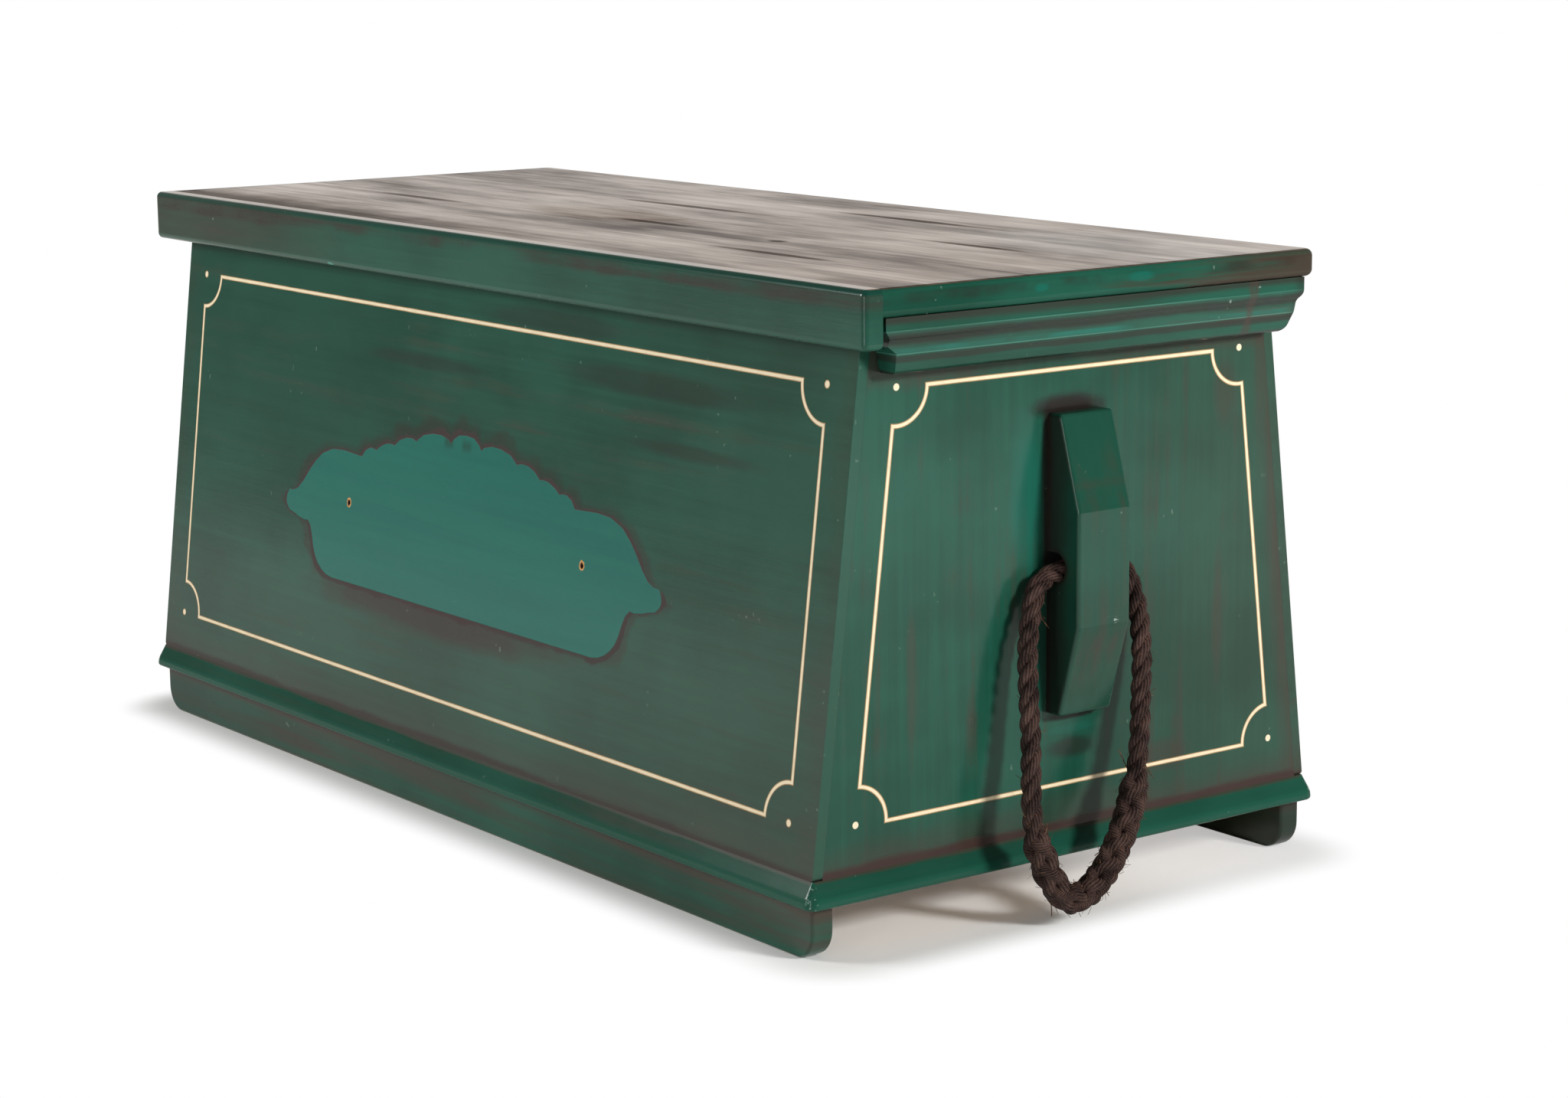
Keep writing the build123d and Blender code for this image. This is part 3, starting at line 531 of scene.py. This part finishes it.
def front_finish():
    """The front: brushed along its length, lined in cream, with the mark that a plate has left."""
    finish = green_coat("front_paint", "x")
    finish.lay(DEEP_GREEN, finish.spot(finish.x + 300, finish.z - 330, 280, 130) * 0.55)
    for x, z, wide, tall in [(110, 392, 120, 11), (235, 360, 130, 12), (300, 318, 90, 7), (-60, 345, 90, 8)]:
        finish.lay(DARK_GLAZE, finish.spot(finish.x - x, finish.z - z, wide, tall) * 0.4)
    finish.lay(BROWN_GLAZE, finish.rise(finish.x + finish.smears * 60, 120, 470) * 0.13)
    finish.lay(BROWN_GLAZE, finish.rise(finish.z + finish.smears * 30, 260, 90) * 0.13)
    dark_joint(finish)
    finish.lay(BROWN_GLAZE, finish.rise(finish.z + finish.streaks * 14, 92, 62) * 0.3)
    finish.lay(BROWN_GLAZE, finish.rise(abs(finish.x) + finish.smears * 14, 440, 470) * 0.15)
    end = CASE_HALF_LENGTH
    # Painted highlight: lighter green on the rounded corner and the end lip.
    finish.lay(FRESH_GREEN, finish.rise(abs(finish.x), end - 1.5, end - 0.1) * 0.6)
    far = patch_depth(finish, 16, 11, seed=71, spread=0.35)
    near = patch_depth(finish, 5, 4.5, seed=74, spread=0.55)
    bare = finish.rise(patch_depth(finish, 0, 0), -0.35, 0.35)
    below = finish.spot(finish.x + 25, finish.z - 150, 190, 18)
    purple = rgb(48, 28, 27)
    finish.lay(purple, finish.rise(far + (finish.z - PATCH_MIDDLE) * 0.05, 0, 11) * 0.5)
    finish.lay(purple, below * 0.75)
    finish.lay(purple, finish.rise(near, -0.5, 3.0) * 0.85, 0.42)
    finish.lay(finish.mix(finish.rise(finish.streaks, -1, 1.2), BRIGHT_TEAL, BARE_TEAL), bare, 0.24)
    lobes = finish.band(abs(abs(finish.x + 12) - 13), -1, 6, 3) * finish.band(finish.z, 284, 291, 3)
    finish.lay(rgb(18, 62, 50), lobes * bare * 0.7)
    finish.height = finish.height - bare * 0.06
    hole = finish.reach(abs(finish.x) - HOLE_ACROSS, finish.z - HOLE_HEIGHT)
    hole = hole + finish.noise((5, 5, 5), seed=81) * 0.9
    finish.lay(rgb(206, 150, 84), finish.rise(hole, 4.0, 3.1), 0.7)
    finish.lay(rgb(66, 34, 16), finish.rise(hole, 2.6, 2.0), 0.8)
    across = abs(finish.x) - LINING_HALF_LENGTH
    up = abs(finish.z - LINING_MIDDLE) - LINING_HALF_HEIGHT
    corner = finish.reach(across, up)
    stripe(finish, finish.most(finish.most(across, up), LINING_HOLLOW - corner))
    stripe(finish, corner - 1.2)
    finish.lay(CREAM, finish.rise(corner, 2.1, 1.7))
    matt_rim(finish)
    chips(finish, 91)
    bare_inside(finish)
    return finish.done()


def back_finish():
    """The back: the same paint, without lining."""
    finish = green_coat("back_paint", "x")
    dark_joint(finish)
    finish.lay(BROWN_GLAZE, finish.rise(finish.z + finish.streaks * 14, 100, 62) * 0.4)
    finish.lay(BROWN_GLAZE, finish.rise(abs(finish.x) + finish.smears * 14, 425, 470) * 0.3)
    matt_rim(finish)
    chips(finish, 95)
    bare_inside(finish)
    return finish.done()


# The ends' lining: its middle height and half height; a place on its side, how far that side leans and the
# cosine of the lean; the middles of its upper and lower corners, and their radius.
END_LINING_MIDDLE, END_LINING_HALF_HEIGHT = 234.25, 145.75
END_SIDE, END_SIDE_HEIGHT, END_SIDE_LEAN, END_SIDE_COSINE = 158.5, 355.2, 0.1203, 0.9928
END_UPPER, END_LOWER, END_HOLLOW = (155.3, 380.5), (191, 89.7), 26


def end_finish():
    """The ends: brushed upwards, lined in cream, brown where the glaze gathered round the cleat, with the
    cleat's painted shadow beside it and painted shade under the moulding.
    """
    finish = green_coat("end_paint", "z")
    depth = panel_depth(finish)
    finish.lay(BROWN_GLAZE, finish.rise(finish.streaks + finish.smears * 0.4, 0.2, 1.1) * 0.32)
    finish.lay(BROWN_GLAZE, finish.rise(finish.y + finish.streaks * 25, -20, 170) * 0.22)
    finish.lay(BROWN_GLAZE, finish.rise(finish.z + finish.smears * 12, 84, 60) * 0.45)
    # Painted shade under the lid's moulding: browner towards the top.
    finish.lay(BROWN_GLAZE, finish.rise(finish.z + finish.smears * 8, 374, 392) * 0.6)
    back_edge = finish.rise(finish.y, 0, 120) * finish.rise(depth + finish.streaks * 7, 24, 6)
    finish.lay(BROWN_GLAZE, back_edge * 0.6)
    finish.lay(rgb(58, 38, 35), finish.rise(finish.z + finish.smears * 2.5, 65, 59.5) * 0.9, 0.45)
    finish.lay(DARK_GLAZE, finish.band(depth, 7.7, 8.3, 0.4) * 0.45)
    y, z, dark = finish.y, finish.z, rgb(34, 22, 22)
    finish.lay(BRIGHT_TEAL, finish.spot(y + 44, z - 290, 16, 60) * 0.35)
    finish.lay(dark, finish.spot(y + 5, z - 354, 34, 10) * 0.9, 0.4)
    # Dark beside the cleat: partly gathered glaze, partly the cleat's painted shadow.
    glaze_and_shadow_by_cleat = finish.rise(abs(y) + finish.streaks * 2, 30, 25.5) * finish.band(z, 225, 352, 10)
    finish.lay(dark, glaze_and_shadow_by_cleat * 0.85, 0.4)
    finish.lay(dark, finish.spot(y + 2, z - 137, 27, 4) * 0.8, 0.4)
    finish.lay(dark, finish.spot(y + 1, z - 114, 25, 8) * 0.6)
    finish.lay(BRIGHT_TEAL, finish.spot(y + 1, z - 127, 24, 4) * 0.2)
    for place, height, wide, tall in [
        (-143, 180, 5, 60), (138, 190, 7, 55), (142, 350, 12, 30), (87, 94, 30, 14),
    ]:
        finish.lay(BROWN_GLAZE, finish.spot(y - place, z - height, wide, tall) * 0.4)
    lean = (abs(y) - END_SIDE - (END_SIDE_HEIGHT - z) * END_SIDE_LEAN) * END_SIDE_COSINE
    up = abs(z - END_LINING_MIDDLE) - END_LINING_HALF_HEIGHT
    upper = finish.reach(abs(y) - END_UPPER[0], z - END_UPPER[1])
    lower = finish.reach(abs(y) - END_LOWER[0], z - END_LOWER[1])
    corner = finish.least(upper, lower)
    stripe(finish, finish.most(finish.most(lean, up), END_HOLLOW - corner))
    finish.lay(CREAM, finish.rise(corner, 2.7, 2.2))
    matt_rim(finish)
    chips(finish, 105)
    finish.lay(pine(finish, "y"), finish.rise(abs(finish.x), 451.7, 451.3), 0.62)
    return finish.done()


def base_finish():
    """The base board: a brown joint under the case, and a rubbed bevel and nose."""
    finish = green_coat("base_paint", "xy", gloss=0.16)
    x_out, y_out = abs(finish.x) - CASE_HALF_LENGTH, abs(finish.y) - CASE_HALF_DEPTH
    outside = finish.most(x_out, y_out)
    corner = finish.rise(finish.least(x_out + 3, y_out + 3), 0.8, 2.2)
    joint = finish.rise(outside + finish.smears * 0.6, 1.6, 0.3) * (1 - corner)
    finish.lay(rgb(70, 46, 40), joint * 0.85, 0.4)
    finish.lay(BROWN_GLAZE, finish.rise(finish.streaks, -0.2, 0.9) * finish.rise(outside, 5.5, 3.5) * 0.55)
    finish.lay(DEEP_GREEN, 0.35)
    finish.lay(FRESH_GREEN, finish.rise(outside, 5.2, 6.6) * 0.5)
    chips(finish, 111, 0.6)
    scuffed = finish.rise(finish.reach(x_out - 3, y_out - 3), 5.5, 2.5)
    finish.lay(rgb(176, 204, 192), scuffed * finish.rise(finish.noise((3, 3, 2), seed=114), 0.3, 0.9) * 0.6)
    inside = finish.rise(abs(finish.x), 451.4, 451.0) * finish.rise(abs(finish.y), 207, 206.5)
    under = finish.rise(finish.z, 38.3, 38.1)
    finish.lay(pine(finish, "x"), finish.most(inside * finish.rise(finish.z, 56.2, 56.4), under), 0.62)
    return finish.done()


def skid_finish():
    """The skids: streaked along their length, brown at the top, with painted shade on the back skid, and
    darker to the left.
    """
    finish = green_coat("skid_paint", "xy")
    finish.lay(BROWN_GLAZE, finish.rise(finish.z + finish.streaks * 5, 24, 36) * 0.75)
    finish.lay(BROWN_GLAZE, finish.rise(finish.streaks, -0.4, 0.9) * 0.65)
    # Painted shade: the back skid is darkened all over.
    finish.lay(DARK_GLAZE, finish.rise(finish.y, 150, 200) * 0.65)
    finish.lay(DARK_GLAZE, finish.rise(finish.x, -150, -450) * 0.3)
    chips(finish, 121)
    finish.lay(pine(finish, "x"), finish.rise(finish.z, 0.4, 0.1), 0.75)
    return finish.done()


def rail_finish():
    """The lid's front rail: dark green on its top edge, brown below it, and a painted highlight along its
    rounded bottom edge.
    """
    finish = green_coat("rail_paint", "xy")
    finish.lay(BROWN_GLAZE, finish.rise(finish.x + finish.smears * 80, -100, -400) * 0.5)
    under_edge = finish.band(finish.z + finish.streaks * 4 + finish.smears * 2, 437, 447, 3)
    finish.lay(rgb(52, 40, 36), under_edge * finish.rise(finish.smears + finish.streaks, -0.9, 0.6) * 0.8)
    # Painted highlight: the rounded bottom edge is painted a lighter green.
    finish.lay(FRESH_GREEN, finish.rise(finish.z + finish.smears, 416, 411) * 0.75)
    finish.lay(rgb(12, 62, 51), finish.band(finish.z, 446.6, 449.4, 0.8) * 0.8)
    top = finish.rise(finish.z, 449.4, 449.85)
    finish.lay(lid_brown(finish), top * finish.rise(finish.y + finish.smears * 1.5, -200.5, -198))
    chips(finish, 131, 0.6)
    finish.lay(rgb(74, 158, 138), finish.spot(finish.x + 195, finish.z - 411.5, 5, 1.6) * 0.8)
    return finish.done()


def lid_brown(finish):
    """Return the lid's top colour: brown glaze dragged along the grain and rubbed thin in long streaks."""
    grain = finish.noise((420, 8, 60), seed=141, detail=5, roughness=0.66)
    drags = finish.noise((150, 30, 60), seed=147, detail=4, roughness=0.6)
    clouds = finish.noise((300, 90, 90), seed=144, detail=3)
    finish.wear = finish.rise(grain * 0.4 + drags * 0.6 + clouds * 0.6, -1.1, 1.1)
    return finish.mix(finish.wear, rgb(66, 43, 34), rgb(152, 122, 96))


# Dark glaze on the lid: its middle along and across, and its half length and half width.
LID_SMEARS = [
    (22, -41, 70, 7), (268, -111, 90, 6), (207, -56, 12, 8), (-60, 60, 110, 6), (150, 120, 120, 8),
    (-300, -60, 90, 8), (330, 30, 70, 6),
]


def lid_finish():
    """The lid boards: brown glaze on top, green edges streaked with brown, a bare underside."""
    finish = green_coat("lid_paint", "xy", gloss=0.0)
    x, y, z = finish.x, finish.y, finish.z
    top = finish.rise(z, 449.0, 449.8)
    finish.lay(lid_brown(finish), top)
    middle_seam = abs(y - LID_SEAM)
    seam = finish.least(middle_seam, abs(middle_seam - LID_BOARD_WIDTH))
    finish.lay(DARK_GLAZE, finish.rise(seam, 1.3, 0.4) * top * 0.4)
    near = finish.rise(y + finish.smears * 16, -130, -185) * finish.rise(x + finish.smears * 60, 300, -250)
    near = finish.most(near * 0.9, finish.spot(x - 480, y + 190, 70, 35) * 0.5)
    for place, across, wide, tall in LID_SMEARS:
        near = finish.most(near, finish.spot(x - place, y - across, wide, tall))
    finish.lay(rgb(44, 30, 26), near * top * 0.7)
    finish.lay(rgb(150, 138, 126), finish.spot(x + 213, y - 4, 60, 9) * top * 0.3)
    finish.lay(DARK_GLAZE, finish.rise(abs(x) + finish.smears * 4, 482, 494) * top * 0.6)
    finish.rough = finish.rough + top * (0.13 - finish.wear * 0.07 + near * 0.08)
    underside = finish.rise(z, 430.9, 430.6) * finish.rise(abs(x), 470.5, 470)
    dull, shiny = finish.spot(x + 53, y + 27, 120, 40), finish.spot(x - 400, y - 120, 160, 90)
    gloss = (0.22 + finish.wear * 0.6 + shiny * 0.25 - dull * 0.25) * (1 - near * 0.75)
    finish.coat = (0.3 + top * (gloss - 0.3)) * (1 - underside)
    finish.lay(BROWN_GLAZE, finish.rise(finish.streaks + (y - 10) * 0.006, -0.2, 0.5) * (1 - top) * 0.85)
    edge_streaks = finish.band(z + finish.streaks, 439, 446, 2) * finish.rise(finish.smears, -0.3, 0.5)
    finish.lay(DARK_GLAZE, edge_streaks * 0.55)
    finish.lay(FRESH_GREEN, finish.band(z, 446.8, 449.2, 0.8) * 0.25)
    for across, height, wide, tall in [(34, 442, 12, 3.5), (-55, 441, 7, 3)]:
        finish.lay(rgb(14, 100, 86), finish.spot(y - across, z - height, wide, tall) * (1 - top) * 0.5)
    chips(finish, 151, 0.5)
    finish.lay(pine(finish, "x"), underside, 0.62)
    return finish.done()


def moulding_finish():
    """The lid's end mouldings: brown in the hollows, brown with a painted shade line under the lid, and
    painted highlights on the arrises and on a band over the lower arris.
    """
    finish = green_coat("moulding_paint", "xy")
    y, z = finish.y, finish.z
    # Brown at the top, darkest right under the lid board as a painted shade line.
    finish.lay(rgb(46, 34, 31), finish.rise(z + finish.streaks * 2, 423, 428) * 0.7)
    finish.lay(DARK_GLAZE, finish.band(z + finish.smears * 1.5, 411.5, 419, 2) * 0.75)
    finish.lay(BROWN_GLAZE, finish.rise(finish.streaks, -0.1, 0.7) * finish.rise(y, -60, 140) * 0.6)
    finish.lay(DARK_GLAZE, finish.band(z + finish.smears, 399.5, 404, 1.2) * 0.65)
    # Painted highlight: a bright teal band over the lower arris.
    finish.lay(BRIGHT_TEAL, finish.band(z, 406, 409, 0.9) * finish.rise(finish.smears, -0.8, 0.6) * 0.8)
    finish.lay(DARK_GLAZE, finish.rise(z + finish.smears, 394, 392) * 0.8)
    # Painted highlights: thin light green lines along the two arrises.
    for arris in (421.4, 405.4):
        arris_highlight = finish.band(z, arris - 0.5, arris + 0.3, 0.35) * finish.rise(finish.streaks, -1.2, 0.8)
        finish.lay(rgb(78, 140, 122), arris_highlight * 0.6)
    finish.lay(BROWN_GLAZE, finish.band(abs(y - 143) + finish.streaks * 2, -1, 3, 3) * 0.7)
    finish.lay(DARK_GLAZE, finish.rise(y, 180, 190) * 0.4)
    chips(finish, 161, 0.6)
    return finish.done()


def cleat_finish():
    """The becket cleats: deep green towards the top, streaked with brown, with painted shade on their sides,
    and glaze with painted shade where they meet the panel.
    """
    finish = green_coat("cleat_paint", "z")
    face = finish.rise(abs(finish.x), 486, 498)
    finish.lay(DEEP_GREEN, finish.rise(finish.z, 200, 290) * 0.7)
    finish.lay(BROWN_GLAZE, finish.rise(finish.streaks + finish.smears * 0.5, -0.3, 0.8) * face * 0.35)
    finish.lay(BROWN_GLAZE, finish.rise(finish.z + finish.smears * 8, 215, 195) * 0.12)
    # Painted shade: the cleat's sides darken towards the panel.
    shade = finish.rise(abs(finish.y), 23.2, 23.95) * finish.rise(abs(finish.x) + finish.smears * 5, 502, 480)
    finish.lay(DARK_GLAZE, shade * 0.75)
    # Darker all round where the cleat meets the panel: partly glaze in the corner, partly painted shade.
    finish.lay(DARK_GLAZE, finish.rise(abs(finish.x) + finish.smears * 2, 478, 472) * 0.8)
    groove = finish.reach(abs(finish.x) - 480.5, finish.z - 245.5)
    finish.lay(DARK_GLAZE, finish.rise(groove, 14, 10.5) * 0.8)
    scratches = finish.rise(finish.noise((6, 6, 1), seed=175), 0.4, 0.6)
    finish.lay(rgb(190, 205, 196), finish.spot(finish.y - 6, finish.z - 208, 9, 3) * scratches * 0.7)
    finish.lay(BROWN_GLAZE, finish.rise(finish.z, 298, 304) * finish.rise(abs(finish.x), 497, 499) * 0.22)
    chips(finish, 171, 0.6)
    return finish.done()


def brass_finish():
    """Dull, handled brass for the hinges."""
    finish = Finish("dull_brass", {"Metallic": 1.0})
    tarnish = finish.rise(finish.noise((9, 9, 9), seed=181, detail=4), -0.8, 1.1)
    finish.colour = finish.mix(tarnish, rgb(186, 150, 84), rgb(120, 88, 46))
    finish.rough = 0.32 + tarnish * 0.25
    finish.height = finish.noise((2, 2, 2), seed=184, detail=3) * 0.015
    return finish.done()


def steel_finish():
    """Dark, slightly rusty steel for the wood screws."""
    finish = Finish("screw_steel", {"Metallic": 0.85})
    rust = finish.rise(finish.noise((4, 4, 4), seed=191, detail=4), 0.1, 1.1)
    finish.colour = finish.mix(rust, rgb(112, 108, 102), rgb(92, 58, 38))
    finish.rough = 0.38 + rust * 0.35
    finish.height = finish.noise((1.2, 1.2, 1.2), seed=194, detail=3) * 0.02
    return finish.done()


def rope_finish():
    """Old dark hemp: yarns that run along each strand, paler on their crowns, with ginger fibres."""
    finish = Finish("dark_rope", {"Specular IOR Level": 0.25})
    run, round_strand, _ = finish.split(finish.node("UVMap", {"uv_map": "UVMap"}))
    yarns = finish.work("SINE", (round_strand * 9 + run * (10 * ROPE_LENGTH / LAY)) * 2 * math.pi)
    blotches = finish.noise((14, 14, 14), seed=201, detail=4)
    fuzz = finish.noise((0.8, 0.8, 0.8), seed=204, detail=3)
    tone = finish.rise(blotches + fuzz * 0.7 + yarns * 0.5, -1.2, 1.6)
    finish.colour = finish.mix(tone, rgb(20, 14, 13), rgb(98, 75, 68))
    ginger = finish.noise((2.5, 2.5, 2.5), seed=207, detail=2)
    finish.lay(rgb(136, 92, 66), finish.rise(ginger + fuzz * 0.4, 0.7, 1.1) * 0.65)
    finish.rough = 0.78 + fuzz * 0.06
    finish.height = fuzz * 0.3 + yarns * 0.28
    return finish.done()


def fibre_finish():
    """Loose rope fibres, ginger to grey."""
    finish = Finish("loose_fibre", {"Specular IOR Level": 0.2})
    tone = finish.noise((3, 3, 3), seed=211, detail=2)
    finish.colour = finish.mix(finish.rise(tone, -0.4, 1.2), rgb(64, 46, 36), rgb(150, 110, 78))
    finish.rough = 0.8 + tone * 0.02
    finish.height = tone * 0.01
    return finish.done()


# Studio

TO_BACK = Vector((-0.8, 0.6))
PLAIN_WHITE, WARM_WHITE = (1, 1, 1, 1), (1, 0.965, 0.92, 1)
# In metres: half the floor, and half the length and depth of the ground that the chest covers.
FLOOR_REACH, FOOT_HALF_LENGTH, FOOT_HALF_DEPTH = 14, 0.46, 0.2


def rays(shading):
    """Return whether a ray leaves the camera, and whether it leaves a glossy or a clear surface."""
    kinds = shading.node("LightPath").socket.node.outputs
    seen = Value(shading, kinds["Is Camera Ray"])
    mirrored = Value(shading, kinds["Is Glossy Ray"]) + Value(shading, kinds["Is Transmission Ray"])
    return seen, mirrored


def shown_white(shading, east, north, low, high):
    """Return how white the studio looks to a mirror that faces this level way, from low to high."""
    behind = shading.rise(east * TO_BACK.x + north * TO_BACK.y, 0.45, 0.85)
    before = shading.rise(north * -1, 0.42, 0.72)
    return low + behind * (high - low) + before * (high - low) * 0.3


def make_floor():
    """Lay the white floor: it takes the chest's shadow, and is plain white away from it."""
    mesh = bpy.data.meshes.new("floor")
    shape = bmesh.new()
    bmesh.ops.create_grid(shape, x_segments=1, y_segments=1, size=FLOOR_REACH)
    shape.to_mesh(mesh)
    shape.free()
    floor = link("floor", mesh)
    paper = bpy.data.materials.new("white_paper")
    paper.use_nodes = True
    shading = Shading(paper.node_tree)
    shader = paper.node_tree.nodes["Principled BSDF"]
    matt_white = {"Base Color": rgb(236, 236, 234), "Roughness": 0.9, "Specular IOR Level": 0}
    for socket, value in matt_white.items():
        shader.inputs[socket].default_value = value
    place = shading.node("TexCoord", output="Object")
    x, y, _ = shading.split(place)
    beyond = shading.reach(
        shading.most(abs(x) - FOOT_HALF_LENGTH, 0), shading.most(abs(y) - FOOT_HALF_DEPTH, 0)
    )
    level = shading.node("VectorMath", {"operation": "NORMALIZE"}, {0: place})
    east, north, _ = shading.split(level)
    seen, mirrored = rays(shading)
    shown = mirrored * shown_white(shading, east, north, 0.25, 1.0) * shading.rise(beyond, 0.0, 0.2) * 0.8
    under = shading.rise(y, -0.03, 0.13) * 0.38 + 0.08
    glow = seen * (under + (1 - under) * shading.rise(beyond, 0.026, 0.075))
    tint = shading.mix(mirrored, PLAIN_WHITE, WARM_WHITE)
    light = shading.node("Emission", inputs={"Color": tint, "Strength": 1.0})
    matt = Value(shading, shader.outputs[0])
    blend = shading.node("MixShader", inputs={0: glow + shown, 1: matt, 2: light})
    shading.join(blend, paper.node_tree.nodes["Material Output"].inputs["Surface"])
    mesh.materials.append(paper)


def make_surroundings():
    """Surround the chest with white that only the camera and mirrors see, and a low even light."""
    world = bpy.data.worlds.new("studio")
    bpy.context.scene.world = world
    world.use_nodes = True
    shading = Shading(world.node_tree)
    east, north, up = shading.split(shading.node("TexCoord", output="Generated"))
    seen, mirrored = rays(shading)
    wall = shown_white(shading, east, north, 0.0, 1.0) * shading.rise(up, 0.5, 0.2)
    strength = seen + (1 - seen) * 0.16 + mirrored * wall * 0.84
    shading.join(strength, world.node_tree.nodes["Background"].inputs["Strength"])
    tint = shading.mix(mirrored, PLAIN_WHITE, WARM_WHITE)
    shading.join(tint, world.node_tree.nodes["Background"].inputs["Color"])


def hang_box(name, place, aim, size, watts, mirrored=True):
    """Hang a soft box that points at the chest. The paint's gloss shows it if it is mirrored."""
    light = bpy.data.lights.new(name, "AREA")
    light.shape, light.size, light.size_y, light.energy = "RECTANGLE", *size, watts
    lamp = bpy.data.objects.new(name, light)
    bpy.context.collection.objects.link(lamp)
    lamp.visible_glossy = mirrored
    lamp.location = place
    lamp.rotation_euler = (Vector(aim) - Vector(place)).to_track_quat("-Z", "Y").to_euler()


def make_studio():
    """Set up the floor, the surroundings and the soft boxes."""
    make_floor()
    make_surroundings()
    hang_box("left_box", (-1.5, -2.5, 1.5), (0, -0.1, 0.2), (1.0, 1.0), 63)
    hang_box("right_box", (2.7, 0.72, 1.25), (0.45, 0, 0.2), (0.45, 0.45), 67, mirrored=False)
    hang_box("edge_strip", (1.45, -2.3, 0.5), (0.45, 0, 0.25), (0.06, 0.95), 8)
    bpy.context.scene.view_settings.view_transform = "Standard"


place_camera()
dark_rope, loose_fibre = rope_finish(), fibre_finish()
for side_name, side in SIDES.items():
    make_becket(side_name, side, dark_rope, loose_fibre)

FINISHED = {
    front_finish: ["front_panel"],
    back_finish: ["back_panel"],
    end_finish: ["end_panel_left", "end_panel_right"],
    base_finish: ["base_board"],
    skid_finish: ["skid_front", "skid_back"],
    rail_finish: ["lid_front_rail"],
    lid_finish: ["lid_board_1", "lid_board_2", "lid_board_3", "lid_board_4"],
    moulding_finish: ["lid_moulding_left", "lid_moulding_right"],
    cleat_finish: ["becket_cleat_left", "becket_cleat_right"],
    brass_finish: [
        "hinge_case_leaf_left", "hinge_case_leaf_right", "hinge_lid_leaf_left", "hinge_lid_leaf_right",
        "hinge_pin_left", "hinge_pin_right",
    ],
    steel_finish: [
        "hinge_case_screws", "hinge_lid_screws", "skid_screws", "end_panel_screws", "cleat_screws",
        "moulding_screws",
    ],
}
for make_finish, nodes in FINISHED.items():
    material = make_finish()
    for name in nodes:
        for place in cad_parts[name].material_slots:
            place.material = material

make_studio()
